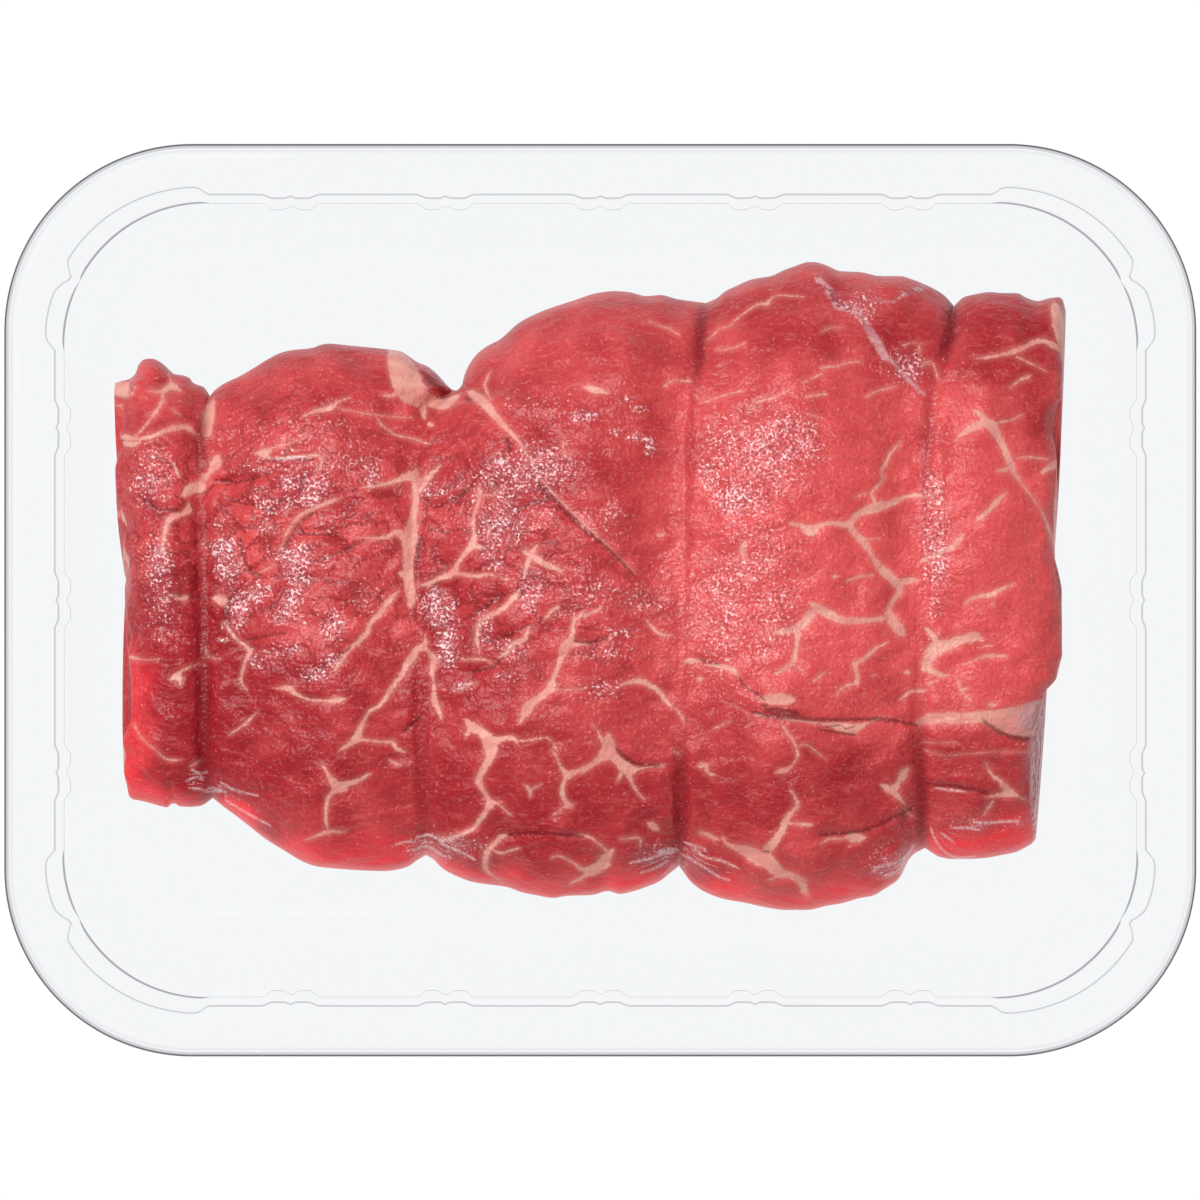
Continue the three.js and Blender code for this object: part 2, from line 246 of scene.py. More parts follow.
# Fat seams, traced from the photo: pixels (x, y) and half width in pixels
SEAMS = {
    "left star across": [(148, 391, 1), (160, 392, 2), (172, 386, 4), (181, 391, 1.2)],
    "left star down": [
        (172, 384, 3), (163, 393, 2), (162, 402, 2.5), (150, 420, 1.6), (138, 434, 1.2),
        (125, 441, 2),
    ],
    "left star tail": [(162, 399, 2), (166, 404, 0.8)],
    "left star up": [(172, 385, 2), (168, 372, 1)],
    "left band": [
        (124, 437, 4), (137, 439, 2.5), (150, 437, 2.5), (165, 431, 3), (180, 427, 3.5),
        (190, 429, 3), (200, 438, 1.5),
    ],
    "left short line": [(172, 409, 1), (180, 415, 1)],
    "left edge patch": [(124, 443, 3), (133, 444, 3.5), (141, 442, 1)],
    "tag": [(114, 389, 8), (124, 390, 9), (131, 388, 6)],
    "first groove strip": [(213, 401, 3), (208, 415, 7), (206, 430, 6), (204, 437, 2)],
    "first groove patch": [(219, 457, 3), (216, 463, 6), (210, 472, 3), (204, 479, 4)],
    "first groove block": [(183, 495, 3), (191, 489, 6), (200, 487, 6), (203, 488, 4)],
    "left lower branch": [
        (189, 503, 1.5), (188, 511, 4), (181, 515, 2.5), (172, 517, 4), (167, 523, 3),
        (163, 545, 2), (162, 553, 3),
    ],
    "left joined patch": [(186, 597, 3), (181, 599, 2), (170, 595, 1)],
    "left low star": [(169, 680, 1), (178, 676, 4.5), (180, 685, 1)],
    "left low star arm": [(178, 674, 3), (185, 669, 1.5), (201, 663, 1)],
    "left thin line": [(130, 657, 2.5), (145, 660, 1), (160, 659, 0.8)],
    "left pale line": [(133, 723, 0.8), (142, 738, 0.9), (156, 750, 1), (166, 759, 1.4), (181, 760, 0.8)],
    "left pale short": [(201, 760, 1.5), (191, 766, 1.8)],
    "second upper line": [(303, 417, 1.5), (313, 412, 2), (330, 408, 3), (340, 401, 1.5), (350, 398, 1)],
    "second patch": [(256, 453, 2), (265, 453, 5), (272, 448, 1.5), (285, 445, 1), (300, 440, 1)],
    "second ridge": [(268, 459, 1), (310, 455, 1.4), (322, 458, 2), (319, 470, 1)],
    "second rising": [
        (280, 550, 1), (288, 530, 2), (300, 515, 2.3), (315, 508, 2.3), (330, 502, 2.3), (341, 498, 1),
    ],
    "second faint": [(255, 575, 1), (275, 565, 1)],
    "second triangle": [(213, 598, 2), (222, 600, 6), (226, 607, 2)],
    "second dots": [
        (224, 622, 1.5), (230, 630, 2), (236, 639, 1.5), (246, 646, 2), (250, 652, 3), (245, 663, 2),
        (241, 680, 1.5), (247, 691, 1),
    ],
    "second arc": [(206, 646, 1), (206, 654, 1.5), (212, 658, 1.5), (221, 659, 1)],
    "second left star": [(276, 688, 1), (290, 689, 4), (297, 695, 2), (310, 700, 1.5)],
    "second right star": [(310, 700, 1.5), (325, 701, 1.5), (337, 700, 4), (346, 698, 1)],
    "second falling": [(258, 711, 1), (245, 724, 1.6), (229, 735, 1)],
    "second short": [(340, 750, 1), (350, 742, 1.6), (361, 735, 1)],
    "second big star": [(321, 762, 1), (328, 774, 2.5), (338, 787, 6), (349, 783, 3), (361, 780, 1)],
    "second big star down": [(338, 787, 4), (328, 799, 2.5), (326, 820, 2), (330, 836, 1)],
    "second low base": [(305, 840, 1), (328, 832, 2.5), (346, 832, 1)],
    "fat main": [(391, 352, 4), (395, 355, 8), (402, 370, 14), (409, 387, 15), (415, 400, 9)],
    "fat main right": [(413, 386, 10), (428, 399, 7), (443, 404, 6), (457, 396, 4)],
    "fat main tail": [(381, 395, 1), (391, 396, 2), (401, 394, 3)],
    "fat below knob": [(424, 403, 4), (423, 412, 4), (425, 419, 1.5)],
    "fat oval": [(429, 424, 3), (432, 425, 2.5)],
    "second long line": [
        (375, 415, 1), (382, 425, 1.2), (394, 434, 1.3), (401, 436, 1.3), (413, 439, 1.3), (428, 444, 1),
    ],
    "second faint long": [(340, 409, 0.8), (375, 415, 1), (413, 418, 0.8)],
    "groove junction left": [
        (416, 475, 5), (406, 477, 4), (392, 482, 3), (375, 486, 2), (361, 488, 1),
    ],
    "groove junction right": [
        (416, 476, 3), (421, 490, 3.5), (427, 479, 3.5), (434, 472, 2.5), (441, 465, 1),
    ],
    "groove junction up": [(416, 475, 4), (416, 467, 1)],
    "groove band": [
        (416, 475, 5), (416, 496, 4), (414, 513, 4), (411, 531, 7), (409, 540, 8.5), (409, 548, 7),
        (408, 565, 6), (409, 583, 6), (411, 600, 5), (410, 605, 3),
    ],
    "groove band left": [(356, 537, 1), (383, 538, 2), (397, 532, 3.5), (404, 538, 5)],
    "groove band stub": [(402, 574, 5), (406, 575, 5)],
    "groove diagonal": [
        (399, 591, 2), (390, 599, 3), (380, 613, 3), (371, 623, 3), (366, 634, 3), (359, 641, 2.5),
        (350, 649, 2.5), (335, 669, 2),
    ],
    "lower junction left": [
        (425, 634, 1), (425, 647, 3), (418, 649, 4), (409, 661, 4), (402, 674, 3), (392, 687, 3),
        (382, 703, 2.5), (369, 712, 2.5), (364, 720, 2.5), (359, 731, 4), (357, 738, 5),
        (349, 744, 3), (339, 751, 1.5),
    ],
    "lower junction right": [
        (425, 648, 3), (428, 651, 3), (434, 660, 4), (432, 670, 3), (433, 679, 2), (434, 691, 2),
        (434, 700, 4), (439, 712, 2), (442, 720, 1),
    ],
    "lower junction arm": [
        (358, 739, 3), (366, 740, 2), (382, 742, 2), (392, 742, 2), (395, 747, 2), (401, 751, 2.5),
        (406, 752, 1),
    ],
    "second low patch": [(389, 760, 1.5), (394, 763, 2), (400, 765, 1.5)],
    "second low line": [(339, 787, 2), (357, 781, 2.5), (370, 774, 1.5)],
    "third short line": [(461, 660, 1), (475, 659, 1.6), (493, 661, 1)],
    "third white line": [(454, 691, 1), (465, 686, 2), (478, 682, 1)],
    "third diagonal": [
        (470, 393, 4), (480, 399, 5), (487, 406, 5), (499, 420, 4), (506, 428, 3), (515, 437, 2.5),
        (520, 444, 1.5), (534, 466, 1), (548, 487, 1), (567, 507, 1), (584, 523, 0.8),
        (607, 545, 0.8), (625, 564, 1), (635, 573, 0.8),
    ],
    "third gloss line": [(491, 371, 1), (486, 380, 1.5), (485, 387, 1.5), (491, 401, 1)],
    "third coral curve": [(564, 442, 1), (563, 451, 1), (571, 461, 0.8)],
    "third upper patch": [(585, 387, 2), (595, 390, 4), (607, 393, 2)],
    "third chain": [
        (478, 487, 2), (480, 496, 3), (477, 506, 2), (473, 520, 2.5), (474, 531, 2.5), (473, 544, 4),
        (465, 553, 3), (458, 564, 3), (453, 573, 4), (440, 578, 3), (427, 584, 2.5), (419, 585, 1.5),
    ],
    "third chain right": [(473, 546, 3), (487, 549, 1)],
    "third chain top": [(480, 496, 1), (498, 494, 0.8), (506, 487, 0.8)],
    "third chain low": [(453, 573, 3), (461, 574, 2.5), (479, 576, 2.5), (487, 574, 2), (500, 577, 1)],
    "third upper star": [(521, 551, 1.5), (531, 555, 4), (541, 562, 3.5), (553, 567, 3), (563, 573, 1.5)],
    "third upper star arms": [(537, 545, 1.5), (531, 555, 3.5), (527, 565, 2.5), (524, 577, 1.5)],
    "third spot": [(504, 579, 2), (508, 579, 2)],
    "third middle": [
        (516, 595, 4), (506, 606, 3), (496, 613, 3), (484, 618, 3), (479, 625, 3), (477, 637, 2),
        (479, 652, 1.5),
    ],
    "third grains": [(529, 627, 2), (524, 639, 3), (513, 644, 3), (506, 653, 3), (499, 657, 2)],
    "third comma": [(559, 606, 1.5), (551, 611, 2), (546, 619, 1.5)],
    "third star": [
        (601, 608, 1.5), (591, 613, 2), (577, 618, 2), (573, 624, 2), (572, 637, 3), (566, 646, 6),
        (560, 660, 3), (558, 668, 3), (553, 679, 3), (551, 687, 5), (545, 693, 4), (536, 700, 4),
        (528, 707, 6), (525, 713, 5), (522, 719, 2), (519, 723, 1),
    ],
    "third star right": [(566, 646, 4), (583, 644, 2), (591, 645, 1)],
    "third star thin": [(556, 690, 1), (584, 689, 0.8)],
    "third left star": [
        (466, 720, 2.5), (472, 727, 5), (484, 734, 5), (490, 745, 8), (491, 755, 5), (486, 765, 4),
        (479, 779, 4), (482, 788, 3), (487, 797, 3), (491, 804, 4), (487, 809, 3), (482, 817, 3),
        (473, 828, 2.5), (461, 833, 2), (451, 837, 1.5), (440, 837, 1),
    ],
    "third left star stub": [(470, 729, 3), (467, 735, 2)],
    "third left star arm": [(493, 742, 6), (503, 739, 3), (513, 738, 3), (518, 744, 1)],
    "third left star faint": [(516, 741, 1), (531, 740, 1), (548, 738, 1), (557, 750, 1)],
    "third left star low": [(491, 803, 3), (498, 803, 1.2), (503, 808, 1.5), (512, 816, 1)],
    "third small star": [(523, 784, 1), (530, 790, 2.5), (530, 798, 1)],
    "third small star arm": [(530, 790, 2), (542, 784, 1)],
    "third low chain": [
        (552, 750, 1), (557, 758, 1.5), (562, 769, 2), (567, 775, 4), (564, 781, 3), (562, 791, 3),
        (565, 802, 3), (569, 806, 4), (574, 804, 1),
    ],
    "third low chain right": [(567, 774, 3), (576, 772, 3), (586, 767, 2.5), (601, 762, 1.5)],
    "third low chain foot": [(566, 806, 2), (560, 810, 1.5), (553, 815, 1)],
    "third big star": [
        (608, 734, 2.5), (608, 750, 8), (597, 761, 3), (589, 767, 3), (580, 773, 2),
    ],
    "third big star right": [
        (608, 751, 6), (618, 761, 5), (628, 770, 7), (637, 769, 2), (649, 767, 1.5), (664, 765, 1),
    ],
    "third big star up": [(604, 745, 3), (597, 730, 1), (592, 724, 0.8)],
    "third big star foot": [(628, 773, 4), (632, 783, 2), (639, 794, 1.5), (645, 800, 1)],
    "third big star spur": [(621, 774, 3), (617, 782, 1.2)],
    "third bottom left": [
        (507, 835, 2), (499, 839, 3), (494, 844, 3), (488, 851, 3.5), (485, 860, 3.5), (486, 869, 3),
        (494, 877, 1.2), (503, 882, 1),
    ],
    "third bottom left arm": [(492, 850, 1.5), (502, 853, 2), (513, 850, 1.5), (521, 848, 1)],
    "third bottom right": [
        (551, 858, 1), (559, 856, 1.5), (573, 863, 1.8), (584, 871, 3), (589, 870, 4), (598, 865, 4),
        (606, 858, 5), (612, 851, 3),
    ],
    "third bottom right upper": [(576, 835, 1.5), (587, 836, 1.5), (599, 844, 1.5), (608, 852, 2)],
    "third bottom right foot": [
        (609, 863, 3), (601, 870, 3), (587, 875, 3), (579, 879, 2.5), (570, 884, 1.5),
    ],
    "third soft spot": [(650, 824, 4), (656, 828, 4)],
    "third bottom line": [(620, 839, 1.5), (639, 838, 2), (640, 847, 1.2)],
    "third groove bit": [(672, 750, 1.5), (679, 754, 1.5)],
    "third middle line": [(646, 620, 1.5), (655, 630, 2), (661, 634, 1.5), (671, 636, 1)],
    "third arc": [
        (621, 685, 2), (630, 682, 2.5), (640, 681, 3.5), (649, 685, 3), (660, 692, 3),
        (667, 703, 1.5), (677, 710, 1.5), (682, 717, 2), (684, 726, 1.5),
    ],
    "third right line": [(664, 387, 1.2), (672, 381, 1.2), (691, 381, 1)],
    "third top line": [(649, 321, 1), (660, 326, 1), (668, 328, 1), (679, 335, 1)],
    "third groove patch": [(658, 535, 2.5), (662, 535, 2.5)],
    "fourth corner line": [
        (701, 343, 0.8), (712, 336, 1), (719, 329, 1), (729, 326, 1), (739, 317, 1), (753, 307, 1.5),
        (760, 304, 2), (767, 304, 2.5), (771, 299, 1), (779, 295, 1), (805, 297, 0.8),
    ],
    "fourth corner line low": [(718, 351, 1), (734, 348, 1), (745, 343, 1)],
    "fourth left line": [(705, 402, 1.2), (719, 397, 1.2), (733, 393, 1.2), (744, 391, 1)],
    "fourth upper line": [
        (747, 411, 1), (753, 404, 1.2), (764, 400, 1.2), (776, 397, 1.5), (789, 390, 1),
    ],
    "fourth upper line right": [(802, 383, 1), (812, 378, 1), (822, 374, 1)],
    "fourth upper low": [(805, 397, 1.5), (826, 394, 1.2)],
    "fourth bright line": [(806, 413, 1), (820, 418, 1)],
    "fourth long thin": [(821, 368, 1.5), (837, 366, 1.5), (851, 362, 1), (863, 362, 0.8)],
    "fourth top thin": [(821, 332, 1), (830, 328, 1), (844, 327, 0.8)],
    "fourth soft line": [(866, 397, 1.5), (872, 393, 1.5), (881, 390, 1.5), (897, 386, 1)],
    "fourth edge line": [(903, 345, 1), (917, 343, 1), (920, 353, 1)],
    "fourth edge hook": [(922, 366, 1.5), (929, 361, 1.5), (934, 366, 1.5), (938, 379, 1)],
    "fourth groove bit": [(701, 661, 1.5), (692, 661, 3), (684, 661, 2)],
    "fourth left bit": [(707, 665, 1.5), (724, 667, 3), (733, 670, 3), (740, 678, 1)],
    "fourth groove spot": [(699, 679, 2.8), (701, 679, 2.8)],
    "fourth middle patch": [(763, 699, 4), (778, 699, 7), (791, 700, 5)],
    "fourth sliver": [(755, 715, 1.5), (768, 717, 1.2)],
    "fourth pale line": [
        (784, 719, 1.5), (802, 721, 1.5), (821, 724, 2), (830, 724, 3), (841, 727, 5), (855, 729, 5),
        (867, 723, 1.5), (885, 717, 1),
    ],
    "fourth wave": [
        (789, 523, 1.5), (802, 526, 3), (810, 531, 6), (819, 526, 3), (830, 523, 2.5), (840, 524, 3),
        (849, 524, 4), (855, 517, 3.5), (863, 512, 4), (874, 508, 6), (889, 504, 4), (900, 499, 3),
        (910, 496, 2.5), (919, 495, 2), (926, 497, 2), (942, 490, 1),
    ],
    "fourth chain": [
        (901, 441, 1), (894, 449, 2), (889, 456, 2), (886, 464, 2.5), (881, 471, 2), (884, 478, 2),
        (879, 485, 2.5), (872, 492, 2), (874, 501, 2.5), (877, 507, 3),
    ],
    "fourth fine": [(855, 497, 1), (871, 492, 0.8)],
    "fourth main": [
        (849, 525, 4), (856, 535, 4), (863, 542, 4), (869, 550, 3), (875, 561, 3), (881, 569, 5),
        (889, 576, 5), (896, 583, 5), (900, 590, 4), (896, 597, 3), (891, 604, 3), (889, 611, 4),
        (891, 618, 6), (898, 628, 6), (903, 634, 3),
    ],
    "fourth main arm": [(862, 540, 3), (870, 539, 1.5), (880, 538, 1)],
    "fourth main right": [(898, 583, 4), (912, 580, 3), (918, 580, 1.5)],
    "fourth main left": [(874, 575, 1.5), (862, 576, 1.6), (846, 581, 1.2)],
    "fourth spot": [(834, 577, 2.5), (837, 577, 2.5)],
    "fourth hook": [(745, 543, 3), (742, 550, 3), (746, 559, 1.5)],
    "fourth lower wave": [
        (811, 604, 3), (823, 611, 5), (830, 614, 5), (841, 620, 4), (855, 621, 4), (872, 620, 3),
        (886, 618, 3),
    ],
    "fourth lower left": [(774, 633, 2.5), (790, 630, 4), (802, 625, 5), (812, 612, 5)],
    "fourth lower down": [(798, 630, 3), (796, 651, 3), (793, 661, 3), (788, 666, 3), (775, 674, 1.5)],
    "fourth lower bit": [(797, 666, 2), (805, 673, 1.5)],
    "fourth loop": [(813, 681, 1), (818, 678, 1.6), (825, 672, 1)],
    "fourth knot": [
        (888, 642, 1), (875, 649, 2), (865, 658, 2), (855, 664, 3), (857, 673, 2.5), (857, 683, 3.5),
    ],
    "fourth knot tail": [(855, 684, 2), (849, 685, 1.5), (841, 689, 1.5), (836, 697, 1)],
    "fourth dot": [(905, 672, 2.5), (908, 672, 2.5)],
    "fourth small dot": [(873, 675, 1.5), (875, 675, 1.5)],
    "fourth right dash": [(900, 700, 1.5), (910, 692, 2.5), (924, 691, 2)],
    "fourth left rise": [(713, 729, 1.2), (731, 721, 1.2)],
    "fourth low thread": [
        (781, 723, 1), (786, 731, 2), (793, 741, 2), (796, 747, 1.5), (798, 758, 2.5),
    ],
    "fourth low thread arm": [(796, 747, 1), (807, 745, 1), (823, 757, 0.8)],
    "fourth low dash": [(797, 759, 1.5), (790, 768, 1.5), (782, 771, 3.2), (775, 773, 1.5)],
    "fourth hook low": [(699, 766, 3), (706, 766, 3), (708, 773, 2), (715, 775, 1.2)],
    "fourth low curve": [
        (790, 790, 1.5), (795, 797, 2), (797, 806, 3), (791, 813, 3), (786, 821, 4), (781, 832, 4),
        (772, 845, 5), (766, 852, 5),
    ],
    "fourth low wedge": [(787, 823, 1.5), (800, 824, 2), (811, 825, 2.5)],
    "fourth low left": [(699, 832, 2), (708, 835, 2.5), (718, 840, 2)],
    "fourth bottom": [
        (722, 836, 1.2), (727, 844, 2), (734, 847, 3.5), (745, 851, 6), (757, 857, 8), (767, 861, 8),
        (779, 872, 6), (790, 875, 4), (806, 881, 2),
    ],
    "fourth bottom right": [(790, 875, 3), (802, 884, 4), (805, 892, 4), (809, 897, 1.5)],
    "fourth bottom left": [(779, 873, 2), (776, 877, 1.5), (768, 880, 1.2)],
    "fourth corner star": [(881, 785, 1.5), (892, 790, 5), (898, 783, 3), (904, 773, 5), (909, 768, 2)],
    "fourth corner star down": [(892, 790, 4), (896, 794, 4), (901, 800, 2), (906, 805, 1)],
    "fourth corner dash": [(906, 811, 2), (913, 817, 1.5)],
    "fourth soft patch": [(847, 838, 4), (856, 838, 5), (863, 838, 4)],
    "fourth soft patch tail": [(820, 844, 1), (830, 839, 1.5), (843, 839, 2)],
    "right corner": [(1055, 307, 6), (1058, 325, 6), (1060, 340, 4), (1063, 361, 2)],
    "right corner line": [
        (1064, 354, 2), (1056, 347, 3), (1044, 341, 3), (1033, 343, 3), (1025, 347, 3),
        (1012, 352, 3.5), (1004, 354, 2.5), (990, 357, 2), (975, 359, 1),
    ],
    "right corner soft": [(1016, 357, 1.2), (1028, 362, 1.2), (1046, 371, 1)],
    "right upper dash": [(1030, 376, 2.5), (1019, 381, 1.6), (1010, 388, 1)],
    "right arc": [
        (955, 440, 1.5), (964, 433, 3), (976, 426, 4.5), (986, 423, 5.5), (993, 427, 6), (1000, 439, 4),
        (1007, 454, 4), (1012, 468, 4), (1021, 482, 2), (1030, 494, 1.5), (1042, 512, 1.5),
        (1047, 524, 2), (1052, 538, 3), (1055, 548, 1.5),
    ],
    "right arc upper": [(975, 410, 2.5), (980, 415, 3.5), (987, 422, 4)],
    "right arc branch": [(993, 423, 1.5), (1007, 421, 1.2), (1016, 418, 1.2), (1022, 414, 1)],
    "right arc stub": [(1008, 469, 3), (997, 471, 2)],
    "right thin": [(1018, 458, 1.2), (1028, 457, 1.5), (1051, 459, 1.2)],
    "right triangle": [(1042, 473, 2), (1050, 467, 4), (1057, 464, 5)],
    "right middle": [(978, 520, 2.5), (990, 509, 3), (1000, 498, 3), (1006, 493, 1.5)],
    "right small white": [(954, 330, 2.5), (956, 330, 2.5)],
    "right rise": [
        (921, 561, 2), (931, 557, 2), (941, 552, 2.5), (952, 547, 3), (959, 540, 3), (963, 535, 1.5),
    ],
    "right lower rise": [(965, 603, 1.5), (976, 597, 2.5), (990, 595, 3), (1004, 588, 2), (1013, 584, 1)],
    "right lower bit": [(990, 605, 1.5), (994, 603, 1.2)],
    "right blob": [
        (925, 669, 5), (929, 656, 6), (936, 649, 8), (948, 644, 6), (964, 639, 5), (976, 636, 5),
        (982, 640, 2.5),
    ],
    "right blob up": [(926, 629, 2.5), (934, 637, 4), (937, 645, 4)],
    "right blob low": [(929, 670, 4), (941, 675, 3), (949, 675, 1.2)],
    "right blob lowest": [(927, 684, 1.5), (939, 680, 1.2)],
    "right pair": [(966, 664, 1.2), (979, 658, 1.5), (990, 656, 2.5), (1005, 656, 1)],
    "right small": [(984, 646, 1.2), (992, 646, 1)],
    "right little star": [(958, 682, 1.5), (962, 691, 2), (969, 687, 1.2)],
    "right little star down": [(962, 692, 2), (971, 700, 1.5)],
    "right dot": [(990, 705, 3), (994, 705, 3)],
    "right broad": [
        (917, 723, 3), (930, 719, 6), (945, 718, 6), (965, 718, 6), (985, 717, 7), (1000, 720, 11),
        (1015, 721, 15), (1028, 719, 16), (1036, 708, 9),
    ],
    "right thin upper": [(922, 742, 0.5), (955, 743, 0.5)],
    "right thin lower": [
        (924, 750, 0.5), (941, 755, 0.5), (953, 755, 0.5), (993, 752, 0.5), (1029, 752, 0.5),
    ],
    "right low hook": [
        (986, 763, 1.2), (991, 774, 2), (1000, 781, 2.5), (1009, 792, 5), (1019, 797, 1.5),
        (1026, 800, 1),
    ],
    "right low hook left": [(1008, 794, 4), (1000, 795, 3), (985, 797, 1)],
    "right low hook foot": [(993, 801, 1.5), (988, 809, 2), (984, 815, 1.2)],
    "right orange strip": [(1060, 660, 1.5), (1060, 676, 3), (1061, 685, 2)],
}

# Silverskin: pale lilac sheath, traced in the same way
SHEATHS = {
    "fourth top": [
        (817, 277, 3), (829, 291, 4), (836, 300, 5), (839, 305, 5), (855, 310, 4), (862, 317, 4),
        (867, 326, 4), (872, 334, 4.5), (879, 345, 5), (884, 355, 4), (893, 362, 2), (901, 371, 2),
        (912, 383, 2.5), (925, 396, 1.2),
    ],
    "fourth top right": [
        (880, 302, 1), (893, 301, 1.5), (901, 295, 3), (910, 292, 2.5), (920, 288, 3), (927, 284, 2),
    ],
    "tag edge": [(132, 380, 3), (131, 392, 2.5), (128, 399, 1)],
    "flap upper": [(420, 364, 1), (436, 377, 2), (448, 390, 1.5)],
    "flap lower": [(423, 387, 1.2), (437, 397, 2), (448, 400, 1.5)],
    "broad end": [(1024, 722, 10), (1032, 716, 12), (1039, 706, 8)],
    "right edge upper": [(1065, 372, 1), (1066, 392, 1.5), (1063, 430, 2), (1062, 462, 1.5)],
}

# How deep the painted glow of light through the front edge reaches: pixels (along x, deep)
GLOW_DEPTHS = [
    (120, 30), (190, 22), (212, 8), (255, 18), (300, 30), (350, 42), (400, 36), (426, 14), (470, 20),
    (510, 24),
    (560, 32), (640, 30), (679, 12), (710, 22), (760, 24), (830, 30), (880, 32), (925, 14), (950, 34),
    (1035, 38),
]

# Creases, dipped and given painted shade: pixels (x, y) and half width in pixels
CREASES = {
    "second foot": [(404, 731, 1.2), (421, 717, 1.2)],
    "third low": [(507, 835, 1), (532, 833, 1.2), (556, 834, 1.2), (583, 836, 1)],
    "third star edge": [(616, 748, 1.5), (625, 757, 1.8), (637, 764, 1.2), (660, 766, 1)],
    "fourth left": [(701, 660, 1), (719, 665, 1)],
    "fourth left low": [(739, 678, 1), (746, 687, 1.2), (757, 694, 1.2), (765, 701, 1)],
    "fourth lens": [(764, 708, 1), (775, 711, 3.5), (790, 713, 3.5), (803, 717, 1.2)],
    "fourth long": [
        (753, 712, 1.5), (767, 716, 1.8), (785, 718, 1), (802, 719, 1.5), (830, 720, 1.5),
        (863, 719, 1.5), (889, 720, 1.8), (917, 725, 1),
    ],
    "fourth below wedge": [(820, 730, 1), (855, 735, 1.2)],
    "fourth low": [
        (820, 835, 1), (837, 834, 1.2), (860, 831, 1.5), (872, 828, 1.5), (886, 821, 1.5),
        (907, 811, 1.2), (914, 807, 1),
    ],
    "fifth low": [(926, 783, 1), (941, 785, 1.2), (959, 787, 1.2), (976, 790, 1.2), (989, 794, 1)],
    "fat band edge": [(421, 536, 1), (418, 550, 1.8), (416, 565, 1.8), (416, 581, 1)],
    "fifth broad edge": [(984, 721, 1), (1000, 732, 1.8), (1014, 737, 1.8), (1032, 740, 1.2)],
    "flap core": [(421, 370, 1.5), (432, 381, 3), (445, 393, 2)],
    "second ridge shade": [(266, 461, 1), (290, 459, 1), (315, 459, 0.8)],
    "left patch edge": [(139, 496, 1), (150, 504, 1.5), (163, 510, 1.5), (180, 510, 1)],
    "membrane core": [(1056, 560, 0.8), (1060, 585, 1), (1065, 614, 1)],
    "third dark spot": [(466, 397, 1.5), (470, 400, 1.5)],
    "bottom speck": [(763, 852, 1.2), (769, 852, 1.2)],
    "second fold upper": [(225, 498, 0.8), (240, 502, 1.1), (258, 506, 1.1), (275, 514, 0.8)],
    "second fold left": [(245, 580, 0.8), (234, 594, 1.5), (226, 608, 1.5), (226, 624, 0.8)],
    "second fold rising": [(282, 553, 0.8), (292, 535, 1.3), (302, 521, 1), (316, 512, 0.6)],
    "second fold slope": [(305, 682, 0.7), (318, 670, 1.1), (335, 659, 1.1), (350, 648, 0.7)],
    "second fold inner": [(240, 540, 0.8), (243, 555, 1.3), (250, 570, 1), (262, 575, 0.7)],
    "second fold middle": [(300, 535, 0.7), (325, 534, 1.1), (345, 537, 0.7)],
    "second fold top": [(215, 480, 0.7), (235, 482, 1), (255, 478, 1), (275, 470, 0.7)],
    "second fold gap": [(305, 470, 0.8), (303, 485, 1.4), (300, 497, 0.8)],
    "second fold low": [(262, 612, 0.8), (275, 604, 1.1), (286, 588, 0.8)],
    "second fold right": [(309, 563, 0.7), (331, 556, 0.9), (364, 541, 0.6)],
    "second fold under": [(248, 640, 0.7), (262, 637, 1), (285, 633, 0.7)],
    "third fold dark": [(507, 438, 1), (510, 447, 2), (508, 456, 1)],
    "third fold long": [(513, 512, 0.7), (530, 504, 1), (545, 500, 1), (558, 499, 0.7)],
    "third diagonal shade": [
        (530, 476, 0.6), (543, 488, 1.8), (556, 502, 2), (570, 516, 2.2), (588, 532, 1.6),
        (606, 547, 1.2), (622, 562, 1.2), (634, 576, 0.7),
    ],
    "third fold left": [(436, 507, 0.7), (455, 499, 1.8), (470, 488, 0.8)],
    "third fold star": [(478, 612, 0.7), (493, 602, 1.6), (505, 594, 0.8)],
    "third fold rise": [(488, 642, 0.7), (508, 636, 1.2), (530, 624, 0.7)],
    "third fold right": [(575, 641, 0.7), (590, 643, 1.2), (607, 637, 0.7)],
    "third fold low": [(470, 672, 0.7), (490, 668, 1.2), (503, 658, 0.7)],
}
